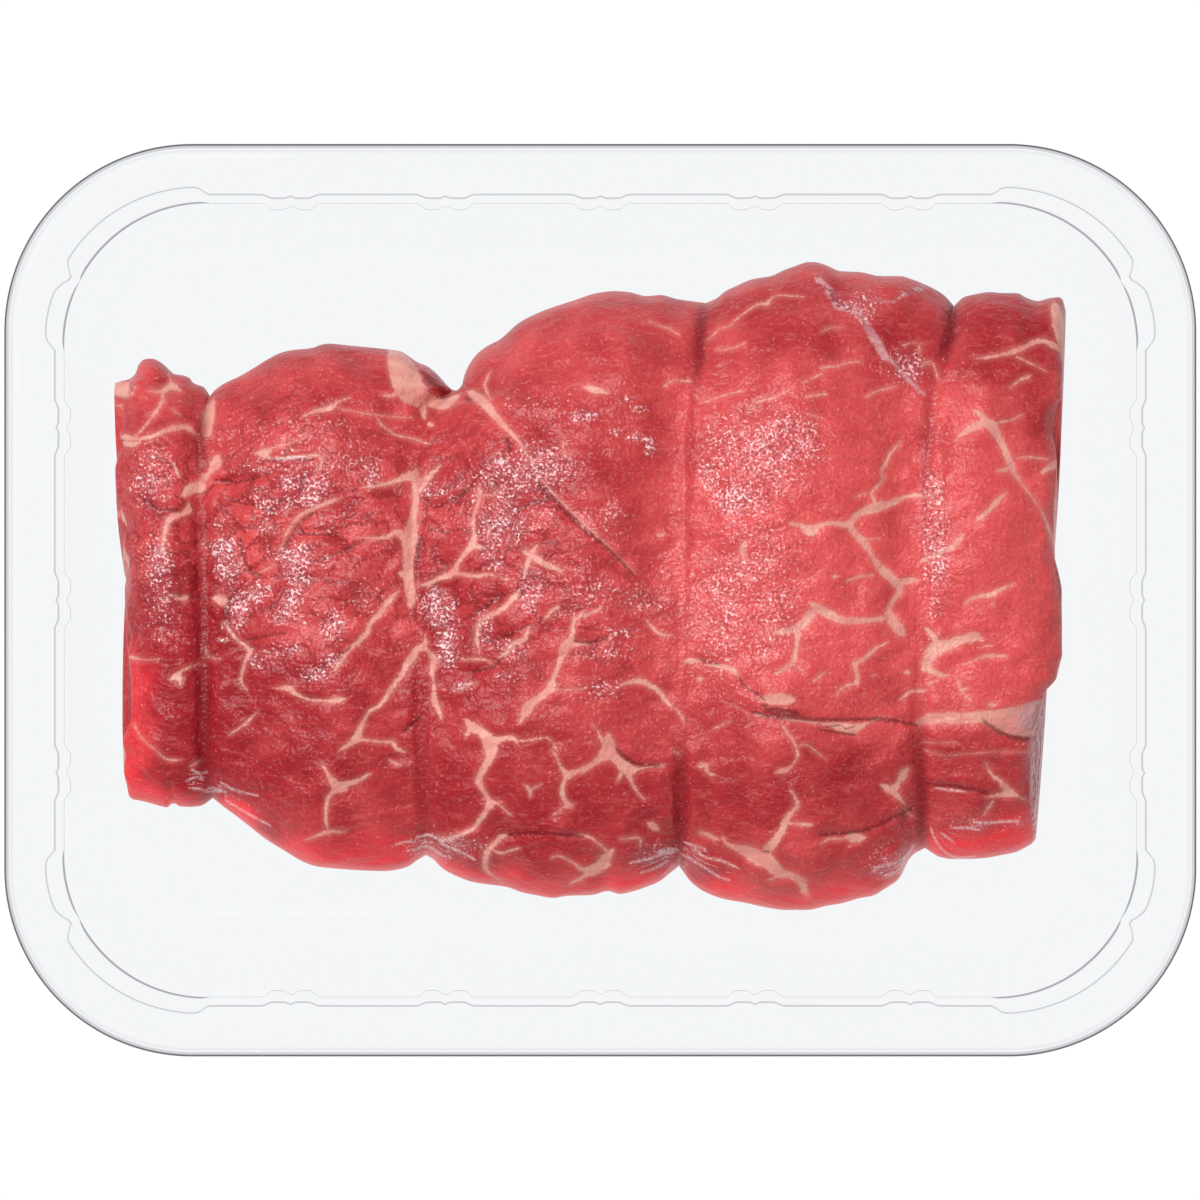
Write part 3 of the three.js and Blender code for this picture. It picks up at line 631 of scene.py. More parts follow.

# Wet wrinkles, raised a little and given a painted highlight: pixels (x, y) and half width in pixels
WRINKLES = {
    "second foot a": [
        (407, 851, 1), (417, 849, 1.2), (424, 846, 1), (433, 849, 1.2), (442, 855, 1), (452, 858, 0.8),
    ],
    "second foot b": [(440, 842, 1), (449, 847, 1.2), (459, 851, 1), (476, 860, 0.8)],
    "second foot c": [
        (417, 837, 0.8), (429, 835, 1), (440, 839, 1), (452, 839, 1), (462, 835, 1), (473, 830, 0.8),
    ],
    "second foot d": [(395, 845, 0.8), (405, 842, 1), (415, 842, 0.8)],
    "third foot a": [(630, 863, 1), (649, 859, 1.2), (661, 854, 1.2), (668, 849, 1)],
    "third foot b": [(660, 852, 2.5), (669, 851, 3.5), (677, 850, 2)],
    "third foot c": [(640, 873, 0.8), (655, 868, 1), (668, 861, 1)],
    "fourth foot a": [(682, 854, 1), (691, 859, 1.2), (701, 865, 1.2), (719, 877, 1), (731, 880, 0.8)],
    "fourth foot b": [(693, 851, 0.8), (708, 858, 1), (722, 861, 1.2), (740, 869, 0.8)],
    "fourth foot c": [(684, 842, 0.8), (695, 846, 1), (706, 849, 0.8)],
    "fourth foot right": [
        (872, 872, 1), (881, 866, 1.2), (895, 863, 1.2), (903, 859, 1.2), (910, 851, 1), (914, 844, 1),
    ],
    "fourth foot right b": [(884, 876, 0.8), (896, 871, 1), (904, 864, 0.8)],
    "fifth foot a": [
        (931, 828, 1), (934, 837, 1), (940, 847, 1), (948, 854, 1), (959, 858, 1), (976, 856, 0.8),
    ],
    "fifth foot b": [(941, 833, 1), (948, 838, 1), (955, 843, 0.8)],
    "fifth foot c": [(950, 828, 0.8), (967, 828, 1), (980, 830, 0.8)],
    "fifth foot d": [(973, 822, 1), (985, 823, 1), (1002, 822, 1), (1019, 821, 1)],
    "fifth under crease": [(935, 788, 0.8), (950, 790, 1.2), (966, 792, 0.8)],
    "second left foot a": [(220, 782, 1), (235, 790, 1.2), (258, 796, 0.8)],
    "second left foot b": [(225, 800, 1), (245, 812, 1.2), (271, 826, 0.8)],
    "second left foot c": [(209, 790, 3), (216, 790, 2.5), (226, 792, 1)],
    "left foot a": [(191, 770, 1), (200, 773, 1.2), (207, 772, 1)],
    "left foot b": [(186, 781, 1), (196, 777, 1), (203, 780, 1)],
    "left foot c": [(190, 788, 1), (200, 789, 1.2), (208, 792, 1)],
    "left upper": [(174, 463, 1), (177, 472, 1.6), (180, 478, 1)],
    "second ridge light": [(276, 459, 0.8), (292, 457.5, 1.2), (307, 456.5, 0.8)],
}

# Painted highlights where wet fibres glint, which also make the wet coat stronger and the fine bump taller:
# middle (x, y), half sizes (x, y) in pixels, and strength
GLINTS = {
    "left upper": (152, 478, 22, 30, 0.85),
    "left middle": (158, 560, 16, 24, 0.85),
    "left lower": (162, 590, 15, 18, 0.75),
    "left dots": (160, 625, 20, 28, 0.4),
    "second top": (300, 440, 90, 26, 0.35),
    "second top low": (300, 466, 70, 10, 0.45),
    "second top right": (370, 476, 12, 12, 0.9),
    "second upper left": (256, 494, 12, 8, 0.8),
    "second upper middle": (290, 483, 12, 8, 1.2),
    "second upper wide": (279, 505, 20, 10, 0.9),
    "second upper right": (320, 487, 14, 9, 0.9),
    "second upper bright": (309, 501, 8, 6, 1.3),
    "second left first": (219, 524, 9, 6, 1.2),
    "second left second": (222, 546, 15, 9, 1.3),
    "second left third": (227, 570, 12, 13, 1.2),
    "second left fourth": (240, 607, 10, 13, 1.3),
    "second left fifth": (232, 626, 10, 5, 0.9),
    "second left dash": (222, 640, 7, 3, 1.1),
    "second soft": (262, 526, 14, 8, 0.6),
    "second ribbed": (259, 592, 14, 11, 1.3),
    "second middle": (296, 555, 24, 11, 1.2),
    "second middle low": (301, 574, 13, 10, 1.2),
    "second middle lowest": (293, 598, 9, 11, 1.4),
    "second strokes": (326, 563, 5, 13, 0.9),
    "second low": (265, 655, 14, 8, 1.0),
    "second low dash": (255, 666, 6, 2.5, 1.3),
    "second low middle": (289, 648, 13, 8, 0.8),
    "second grain": (335, 625, 12, 15, 0.9),
    "second grain left": (285, 618, 24, 9, 0.6),
    "second slope": (314, 675, 13, 7, 1.1),
    "second slope upper": (334, 661, 13, 7, 1.0),
    "second right": (365, 592, 20, 20, 0.45),
    "second right upper": (335, 524, 25, 9, 0.45),
    "second wide": (300, 590, 90, 110, 0.12),
    "third left": (433, 491, 14, 9, 0.9),
    "third pink": (498, 500, 46, 44, 0.6),
    "third pink low": (500, 530, 24, 14, 0.5),
    "third pink right": (548, 465, 34, 24, 0.6),
    "third peak": (503, 461, 5, 4, 1.2),
    "third inner": (492, 557, 10, 11, 0.9),
    "third arch": (530, 588, 14, 18, 0.8),
    "third arch foot": (531, 606, 8, 6, 0.9),
    "third groove": (448, 622, 12, 22, 1.2),
    "third groove low": (451, 652, 11, 18, 1.2),
    "third groove left": (428, 608, 9, 14, 1.0),
    "third groove upper": (436, 594, 8, 9, 0.9),
    "third column": (484, 628, 9, 16, 0.9),
    "third rise": (510, 652, 14, 12, 0.7),
    "third rise low": (505, 678, 18, 7, 0.8),
    "third dash": (465, 686, 12, 3.5, 1.1),
    "third top": (587, 416, 13, 5, 1.5),
    "third gloss first": (622, 401, 9, 3.5, 1.4),
    "third gloss second": (640, 409, 10, 4, 1.5),
    "third gloss third": (617, 431, 9, 3.5, 1.6),
    "third gloss fourth": (637, 438, 10, 4, 1.4),
    "third gloss fifth": (650, 447, 7, 7, 1.6),
    "third top left": (540, 405, 40, 22, 0.4),
    "third corner": (606, 521, 22, 16, 0.6),
    "third middle": (580, 592, 26, 24, 0.6),
    "third right": (640, 600, 26, 14, 0.5),
    "third right low": (624, 631, 18, 7, 0.7),
    "third low": (605, 652, 40, 8, 0.5),
    "third lowest": (600, 690, 26, 10, 0.55),
    "third wide": (555, 580, 120, 130, 0.1),
    "fourth upper": (756, 450, 52, 44, 0.9),
    "fourth strong": (736, 499, 20, 13, 1.2),
    "fourth left": (708, 474, 9, 10, 1.1),
    "fourth high": (804, 440, 22, 22, 0.6),
    "fourth wide": (745, 595, 64, 90, 0.6),
    "fourth top": (863, 307, 20, 15, 0.8),
    "fourth right": (907, 366, 20, 17, 0.8),
    "fourth groove": (936, 535, 13, 90, 0.8),
    "fifth low": (985, 823, 50, 8, 0.6),
    "bottom left": (450, 846, 40, 14, 0.6),
    "bottom middle": (665, 856, 30, 14, 0.6),
    "bottom right": (895, 862, 26, 18, 0.6),
}

# Lighter and darker lean: middle (x, y), half sizes (x, y) in pixels, and by how much
TONES = {
    "right half": (900, 560, 260, 260, 0.45),
    "third upper": (560, 480, 110, 90, -0.25),
    "third bright edge": (520, 345, 70, 22, 0.05),
    "fourth top": (780, 330, 90, 50, -0.45),
    "fifth": (1000, 560, 70, 200, 0.35),
    "fifth top": (1000, 338, 62, 52, -0.95),
    "fifth right": (1037, 425, 18, 46, -0.6),
    "fourth top right": (898, 340, 30, 42, -0.6),
    "second top": (300, 380, 90, 30, -0.15),
    "second middle": (290, 590, 60, 50, 0.15),
    "fourth middle": (780, 560, 90, 120, 0.5),
    "fifth bright": (957, 420, 18, 13, 0.5),
    "second edge": (250, 380, 50, 14, 0.25),
    "left upper": (150, 385, 26, 26, 0.25),
    "left lower": (180, 670, 50, 110, -0.85),
    "second lower": (290, 740, 100, 90, -0.5),
    "third lower left": (470, 700, 60, 130, -0.3),
    "third lower": (580, 810, 130, 60, -0.5),
    "fourth lower left": (740, 760, 70, 70, -0.4),
    "fourth lower": (850, 780, 70, 50, -0.5),
    "fifth lower": (980, 770, 60, 34, -0.8),
    "second groove": (440, 640, 30, 120, -0.2),
    "second left low": (228, 690, 36, 60, -0.6),
}

# Painted shade where the string grooves are deep: middle (x, y), half sizes (x, y), and strength
SHADES = {
    "first upper": (200, 440, 9, 34, 0.8),
    "first lower": (204, 720, 12, 60, 0.8),
    "first middle": (201, 600, 9, 80, 0.35),
    "second upper": (417, 470, 9, 14, 0.4),
    "second lower": (421, 790, 10, 60, 0.35),
    "third upper": (701, 345, 10, 42, 0.9),
    "third lower": (681, 805, 10, 66, 0.65),
    "fourth upper": (949, 333, 11, 34, 1.0),
    "fourth middle": (927, 440, 8, 70, 0.4),
    "fourth lower": (921, 790, 9, 62, 0.85),
}
# Where bundles of muscle stand apart, with creases between that get painted shade: middle, half sizes, and
# strength
FOLDS = {
    "left end": (160, 560, 50, 120, 0.8),
    "second": (300, 540, 120, 150, 1.0),
    "second low": (300, 740, 100, 70, 0.35),
    "third left": (500, 560, 90, 150, 0.9),
    "third right": (620, 640, 70, 90, 0.45),
    "fourth": (760, 500, 80, 90, 0.35),
    "fourth low": (800, 800, 120, 60, 0.25),
}
# Bundles of muscle: their way, how they are drawn out, their size (mm), and a place without them
CELL_WAY = np.array([0.82, 0.57, 0.0])
CELL_SQUEEZE = 0.5
CELL_SIZE = 3.4
PLAIN_CELL = (9.0, 0.5, 0.0)

# Fine relief of the joint (mm)
FAT_DIP = 0.22
CREASE_DIP = 0.55
WRINKLE_RISE = 0.18
BUNDLE_RISE = 0.24
BUNDLE_DIP = 0.18
STRING_MARK_DIP = 0.06
STRING_MARK_OFFSET = 0.25
STRING_MARK_WIDTH = 0.3

# Traced lines: how far off they count (mm), the distance and half width where there is none, when
# a channel is taken, and the steps along a line (pixels)
SEAM_REACH = 1.3
FAR_LINE = (1.5, -3.0)
TAKEN_WIDTH = -2.5
LINE_STEP = 1.6

# The top's usual height (mm), the row of the photo where the right end's face starts, and far off
TOP_LEVEL = 35
END_FACE_BACK = 686
FAR = 99.0
SMALL = 1e-9

# Looks: how the fibres run, how softly seams meet, and a range with soft ends
FIBRE_STRETCH = (0.34, 1.0, 1.0)
SEAM_BLEND = 0.35
SOFT = {"interpolation_type": "SMOOTHSTEP"}


def shown_scale(z):
    """Millimetres for one pixel of the photo, at a height above the base."""
    return RIM_SCALE * (CAMERA_HEIGHT - z) / (CAMERA_HEIGHT - RIM_HEIGHT)


def from_photo(px, py, z):
    """The place (x, y) that a pixel shows at a height."""
    scale = shown_scale(z)
    return (px - PHOTO_MIDDLE_X) * scale, (PHOTO_MIDDLE_Y - py) * scale


def to_photo(x, y, z):
    """The pixel that shows a place."""
    scale = shown_scale(z)
    return PHOTO_MIDDLE_X + x / scale, PHOTO_MIDDLE_Y - y / scale


def linear(code):
    """A colour's linear red, green, blue and alpha, from its sRGB hex code."""
    parts = [int(code[k : k + 2], 16) / 255 for k in (1, 3, 5)]
    return (*[c / 12.92 if c <= 0.04045 else ((c + 0.055) / 1.055) ** 2.4 for c in parts], 1.0)


def smooth(low, high, value):
    """0 under low, 1 over high, and smooth between."""
    share = np.clip((value - low) / (high - low), 0, 1)
    return share * share * (3 - 2 * share)


def lerp(a, b, share):
    return a + (b - a) * share


def curve(xs, ys, at):
    """A smooth curve through points that never swings past them (monotone cubic)."""
    xs, ys = np.asarray(xs, float), np.asarray(ys, float)
    steps = np.diff(xs)
    slopes = np.diff(ys) / steps
    same_way = slopes[1:] * slopes[:-1] > 0
    mean = 2 * slopes[1:] * slopes[:-1] / np.where(same_way, slopes[1:] + slopes[:-1], 1)
    bends = np.concatenate([[slopes[0]], np.where(same_way, mean, 0), [slopes[-1]]])
    k = np.clip(np.searchsorted(xs, at) - 1, 0, len(steps) - 1)
    t = np.clip((at - xs[k]) / steps[k], 0, 1)
    here, there = (1 + 2 * t) * (1 - t) ** 2, t * t * (3 - 2 * t)
    rise = steps[k] * (t * (1 - t) ** 2 * bends[k] - t * t * (1 - t) * bends[k + 1])
    return here * ys[k] + there * ys[k + 1] + rise


def ripple(points, wavelength, seed, waves=16):
    """A smooth random field of about unit size: a sum of plane waves."""
    rng = np.random.default_rng(seed)
    ways = rng.normal(size=(waves, 3))
    ways /= np.linalg.norm(ways, axis=1)[:, None]
    ways /= (wavelength * rng.uniform(0.7, 1.4, waves))[:, None]
    phases = rng.uniform(0, 2 * np.pi, waves)
    return np.cos(points @ ways.T * 2 * np.pi + phases).sum(1) / math.sqrt(waves / 2)


def rail_at(k, py):
    """Where a rail crosses a row of the photo."""
    xs, ys = zip(*RAILS[k])
    return curve(ys, xs, py)


def outline_at(bulge, outline, share):
    """The row of the photo where a bulge's outline lies, a share of the way between its rails."""
    px = np.array([p[0] for p in outline], float)
    py = np.array([p[1] for p in outline], float)
    left, right = rail_at(bulge, py), rail_at(bulge + 1, py)
    shares = np.maximum.accumulate((px - left) / (right - left) + np.arange(len(px)) * SMALL)
    shares[0], shares[-1] = 0, 1
    return curve(shares, py, share)


def arch(share):
    """From 0 up to 1 half way and back to 0, steep at both ends."""
    return (4 * share * (1 - share)) ** BULGE_FULLNESS


def bowed(turn, fullness):
    """A sine or cosine drawn out, so that a section is fuller than an ellipse."""
    return np.sign(turn) * np.abs(turn) ** (2 / fullness)


def ring_turns():
    """Angles round a section, close together on top and sides and further apart underneath."""
    dense = np.linspace(0, 2 * np.pi, 20001)
    across = TYPICAL_HALF_WIDTH * bowed(np.cos(dense), TOP_FULLNESS)
    up = UNDERSIDE_DEPTH * bowed(np.sin(dense), TOP_FULLNESS)
    lengths = np.hypot(np.diff(across), np.diff(up))
    lengths *= np.where(up[1:] < UNDERSIDE_FROM, UNDERSIDE_SHARE, 1)
    run = np.concatenate([[0], np.cumsum(lengths)])
    return np.interp(np.arange(STEPS_ROUND) / STEPS_ROUND * run[-1], run, dense)


def bulge_shares(bulge, length):
    """Where a bulge's rings stand, as shares of its length, close together at its ends."""
    even = np.linspace(0, 1, BULGE_STEPS[bulge] + 1)
    shares = 0.5 * even + 0.5 * (1 - np.cos(np.pi * even)) / 2
    close = np.array(END_RINGS) / length
    clear = END_RINGS_CLEAR / length
    if bulge == LAST_BULGE:
        return np.concatenate([shares[shares < 1 - clear], 1 - close[::-1]])
    if bulge == 0:
        shares = np.concatenate([close, shares[shares > clear]])
    return shares[:-1]


def quarter_round(distance, radius):
    """How far a rounded edge has dropped, at a distance from the end."""
    short = 1 - np.minimum(distance, radius) / radius
    return radius * (1 - np.sqrt(1 - short**2))


def bulge_profile(bulge, shares, length):
    """A bulge's crown line, and how far its outline draws in at the joint's ends."""
    far = np.full_like(shares, FAR)
    to_left, to_right = shares * length, (1 - shares) * length
    first, last = bulge == 0, bulge == LAST_BULGE
    to_groove = np.minimum(far if first else to_left, far if last else to_right)
    to_end = np.minimum(to_left if first else far, to_right if last else far)
    band = GROOVE_BAND / length
    crown = lerp(CROWNS[bulge], CROWNS[bulge + 1], shares)
    crown = crown + BULGE_TOPS[bulge] * arch(np.clip((shares - band) / (1 - 2 * band), 0, 1))
    crown = crown + GROOVE_LIFT * smooth(GROOVE_LIFT_REACH, 0, to_groove)
    crown = crown - quarter_round(to_end, CROWN_ROUNDING)
    return crown, quarter_round(to_end, EDGE_ROUNDING) / shown_scale(WIDEST_LEVEL)


def joint_sections():
    """The joint's rings of points, in millimetres, from its left end to its right end."""
    turns = ring_turns()
    s = np.sin(turns)
    fullness = np.where(s >= 0, TOP_FULLNESS, UNDERSIDE_FULLNESS)
    across, up = bowed(np.cos(turns), fullness), bowed(s, fullness)
    edge_rows, edge_places = [y for _, y in END_FACE_EDGE], [x for x, _ in END_FACE_EDGE]
    rings = []
    for bulge in range(LAST_BULGE + 1):
        length = rail_at(bulge + 1, MIDDLE_ROW) - rail_at(bulge, MIDDLE_ROW)
        length *= shown_scale(WIDEST_LEVEL)
        shares = bulge_shares(bulge, length)
        crown, inset = bulge_profile(bulge, shares, length)
        back = outline_at(bulge, BACK_OUTLINES[bulge], shares)
        front = outline_at(bulge, FRONT_OUTLINES[bulge], shares)
        for n, share in enumerate(shares):
            reach = (front[n] - back[n]) / 2 - inset[n]
            py = (back[n] + front[n]) / 2 - reach * across
            rise = np.where(up >= 0, crown[n] - WIDEST_LEVEL, UNDERSIDE_DEPTH)
            z = np.maximum(WIDEST_LEVEL + rise * up, REST_LEVEL)
            right = rail_at(bulge + 1, py)
            if bulge == LAST_BULGE:
                top_edge = np.minimum(np.interp(py, edge_rows, edge_places), right)
                right = lerp(right, top_edge, smooth(18, 37, z))
            px = lerp(rail_at(bulge, py), right, share)
            x, y = from_photo(px, py, np.maximum(z, WIDEST_LEVEL))
            tuck = END_TUCK * np.clip(1 - z / WIDEST_LEVEL, 0, 1) ** 2
            x = x + tuck * ((1 - share) * (bulge == 0) - share * (bulge == LAST_BULGE))
            rings.append(np.stack([x, y, z], 1))
    return rings


def cut_face(edge, way):
    """Rings that close an end, from its edge to near its middle."""
    middle = np.array([edge[:, 0].mean(), edge[:, 1].mean(), WIDEST_LEVEL])
    rings = []
    for scale in FACE_SCALES:
        ring = middle + (edge - middle) * scale
        ring[:, 0] += way * END_DOME * (1 - scale**2)
        rings.append(ring)
    return rings


def seam_samples(points):
    """Points close together along a traced line, on a Catmull-Rom spline."""
    p = np.array(points, float)
    ends = np.vstack([2 * p[0] - p[1], p, 2 * p[-1] - p[-2]])
    ends[[0, -1], 2] = p[[0, -1], 2]
    out = []
    for k in range(1, len(ends) - 2):
        a, b, c, d = ends[k - 1 : k + 3]
        count = max(2, int(np.hypot(*(c - b)[:2]) / LINE_STEP))
        t = (np.arange(count) / count)[:, None]
        bend, twist = 2 * a - 5 * b + 4 * c - d, 3 * b - a - 3 * c + d
        out.append(0.5 * (2 * b + (c - a) * t + bend * t**2 + twist * t**3))
    return np.vstack([*out, p[-1:]])


def beside(photo, points):
    """For every place near a traced line: which, its signed distance and its half width (mm)."""
    line = seam_samples(points)
    scale = shown_scale(TOP_LEVEL)
    widest = line[:, 2].max() * scale + SEAM_REACH
    low, high = line[:, :2].min(0) - widest / scale, line[:, :2].max(0) + widest / scale
    near = np.flatnonzero(((photo > low) & (photo < high)).all(1))
    at = photo[near]
    best = np.full(len(near), np.inf)
    offset, width = np.full(len(near), FAR), np.full(len(near), FAR_LINE[1])
    for k in range(len(line) - 1):
        a, b = line[k, :2], line[k + 1, :2]
        along = b - a
        length = np.hypot(*along) + SMALL
        t = (at - a) @ along / length**2
        side = ((at - a) @ np.array([-along[1], along[0]])) / length
        past = np.zeros(len(t))
        if k == 0:
            past = np.maximum(past, -t * length)
        if k == len(line) - 2:
            past = np.maximum(past, (t - 1) * length)
        held = np.clip(t, 0, 1)
        away = np.hypot(*(at - a - held[:, None] * along).T)
        half = lerp(line[k, 2], line[k + 1, 2], held)
        better = away - half < best
        best = np.where(better, away - half, best)
        true = np.where(past > 0, np.abs(side), away)
        offset = np.where(better, np.sign(side + SMALL) * true * scale, offset)
        width = np.where(better, (half - past) * scale, width)
    reached = np.abs(offset) - width < SEAM_REACH
    return near[reached], offset[reached], width[reached]


def spread_in_channels(photo, lines, count):
    """Signed distances and half widths of many lines, lines that meet in different channels."""
    offsets = np.full((len(photo), count), FAR_LINE[0])
    widths = np.full((len(photo), count), FAR_LINE[1])
    for points in lines.values():
        near, offset, width = beside(photo, points)
        taken = [(widths[near, c] > TAKEN_WIDTH).sum() for c in range(count)]
        c = int(np.argmin(taken))
        better = np.abs(offset) - width < np.abs(offsets[near, c]) - widths[near, c]
        offsets[near[better], c] = offset[better]
        widths[near[better], c] = width[better]
    return offsets, widths


def patches(photo, spots):
    """A sum of soft round patches."""
    total = np.zeros(len(photo))
    for px, py, half_x, half_y, strength in spots.values():
        away = ((photo[:, 0] - px) / half_x) ** 2 + ((photo[:, 1] - py) / half_y) ** 2
        total += strength * np.exp(-(away**1.5) * 0.7)
    return total


def cells(points, spacing, seed, bend):
    """In a random cell pattern: how far places are from their cells' edges, and the cells' values."""
    rng = np.random.default_rng(seed)
    low, high = points.min(0) - spacing, points.max(0) + spacing
    steps = [np.arange(a, b, spacing) for a, b in zip(low, high)]
    middles = np.stack(np.meshgrid(*steps, indexing="ij"), -1).reshape(-1, 3)
    middles = middles + rng.uniform(0, spacing, middles.shape)
    values = rng.uniform(0, 1, len(middles))
    tree = KDTree(len(middles))
    for k, middle in enumerate(middles.tolist()):
        tree.insert(middle, k)
    tree.balance()
    bent = points + bend * np.stack([ripple(points, 3.5 * bend + 6, seed + k) for k in range(3)], 1)
    found = [tree.find_n(place, 2) for place in bent.tolist()]
    edges = np.array([(second[2] - first[2]) / 2 for first, second in found])
    return edges, values[[first[1] for first, _ in found]]


def hide_unseen(offsets, widths, points, hidden):
    """Where the photo shows nothing, a random network of fat takes the place of traced seams."""
    offsets[hidden], widths[hidden] = FAR_LINE
    place = points[hidden]
    offsets[hidden, 0] = cells(place * [0.7, 1, 1], 15, 21, 2.2)[0]
    widths[hidden, 0] = 0.12 + 0.4 * ripple(place, 26, 31)


def rim_distance(photo):
    """How far inside the joint's front outline a place lies, in pixels."""
    outline = [p for part in FRONT_OUTLINES for p in part]
    xs, ys = zip(*sorted(set(outline)))
    return np.interp(photo[:, 0], xs, ys) - photo[:, 1]


def mesh_object(name, points, faces, attributes):
    """A smooth closed object of points in millimetres, with point attributes."""
    mesh = bpy.data.meshes.new(name)
    mesh.from_pydata((points * MM).tolist(), [], faces)
    mesh.polygons.foreach_set("use_smooth", [True] * len(mesh.polygons))
    for key, values in attributes.items():
        values = np.asarray(values, np.float32)
        kind = "FLOAT" if values.ndim == 1 else "FLOAT_VECTOR"
        field = "value" if values.ndim == 1 else "vector"
        mesh.attributes.new(key, kind, "POINT").data.foreach_set(field, values.ravel())
    mesh.update()
    thing = bpy.data.objects.new(name, mesh)
    bpy.context.scene.collection.objects.link(thing)
    return thing


def loft_faces(ring_count, points_round, first_centre, last_centre):
    """Faces that join rings of equal counts, closed by a fan at each end."""
    k = np.arange(points_round)
    after = (k + 1) % points_round
    faces = [[first_centre, b, a] for a, b in zip(k.tolist(), after.tolist())]
    for r in range(ring_count - 1):
        near, far = r * points_round, (r + 1) * points_round
        quads = np.stack([near + k, near + after, far + after, far + k], 1)
        faces.extend(quads.tolist())
    end = (ring_count - 1) * points_round
    faces.extend([last_centre, a, b] for a, b in zip((end + k).tolist(), (end + after).tolist()))
    return faces


def relief(points, photo, fields):
    """How far the joint's top surface stands up or dips, in millimetres."""
    offsets, widths = fields["seams"]
    fat = np.minimum.reduce(np.abs(offsets) - widths, axis=1)
    crease = np.abs(fields["crease"][:, 0]) - fields["crease"][:, 1]
    wrinkle = np.abs(fields["wrinkle"][:, 0]) - fields["wrinkle"][:, 1]
    up = 0.4 * ripple(points, 25, 3) + 0.22 * ripple(points, 8, 5)
    up += 0.13 * ripple(points * [0.6, 1, 1], 3.4, 7, 24)
    up -= FAT_DIP * smooth(0.9, -0.5, fat)
    up -= CREASE_DIP * smooth(1.2, -0.2, crease)
    up += WRINKLE_RISE * smooth(0.5, -0.1, wrinkle)
    up += fields["fold"] * (BUNDLE_RISE * smooth(0, 1.1, fields["cell"]) - BUNDLE_DIP)
    near = fields["groove"]
    marks = np.exp(-(((near - GROOVE_BAND - STRING_MARK_OFFSET) / STRING_MARK_WIDTH) ** 2))
    return up * smooth(0.2, 2.5, near) - STRING_MARK_DIP * marks


def joint_surface():
    """The joint's points and faces, how far up round a ring each is, and those between the cut faces."""
    rings = joint_sections()
    left, right = cut_face(rings[0], -1), cut_face(rings[-1], 1)
    middles = [left[-1].mean(0), right[-1].mean(0)]
    rings = [*left[::-1], *rings, *right]
    count = len(rings) * STEPS_ROUND
    turned = np.concatenate([np.tile(np.sin(ring_turns()), len(rings)), [0, 0]])
    between = slice(len(left) * STEPS_ROUND, count - len(right) * STEPS_ROUND)
    faces = loft_faces(len(rings), STEPS_ROUND, count, count + 1)
    return np.vstack([*rings, *middles]), faces, turned, between


def light_from_below(points, photo, seen):
    """Where painted light shines through the lower rim, and the rim's very edge, painted brighter still."""
    depth_in = rim_distance(photo)
    above = points[:, 2] - WIDEST_LEVEL
    low_side = smooth(26, 8, above) * smooth(-15, 9, above) * (0.94 + 0.14 * ripple(points, 15, 15))
    band = np.interp(photo[:, 0], *zip(*GLOW_DEPTHS))
    front_glow = smooth(1.2, 0.1, (depth_in + 4 * ripple(points, 12, 11)) / band)
    from_left = photo[:, 0] - rail_at(0, photo[:, 1]) + 4 * ripple(points, 9, 13)
    left_glow = smooth(34, 6, from_left) * smooth(610, 680, photo[:, 1])
    glow = np.maximum(front_glow, 0.8 * left_glow) * low_side * seen
    rim = smooth(7, 0, depth_in) * smooth(-15, 4, above) * seen
    return glow, rim


def sheath_distance(points, photo, from_face):
    """How far a place lies outside the silverskin, in millimetres."""
    offsets, widths = spread_in_channels(photo, SHEATHS, 2)
    traced = np.minimum.reduce(np.abs(offsets) - widths, axis=1)
    face_back = (END_FACE_BACK - photo[:, 1]) * shown_scale(TOP_LEVEL) + 0.8 * ripple(points, 9, 17)
    face_foot = 13 - points[:, 2] + 2.5 * ripple(points, 11, 19)
    on_face = np.maximum.reduce([from_face, face_back, face_foot])
    return np.clip(np.minimum(traced, on_face), -2, 2)


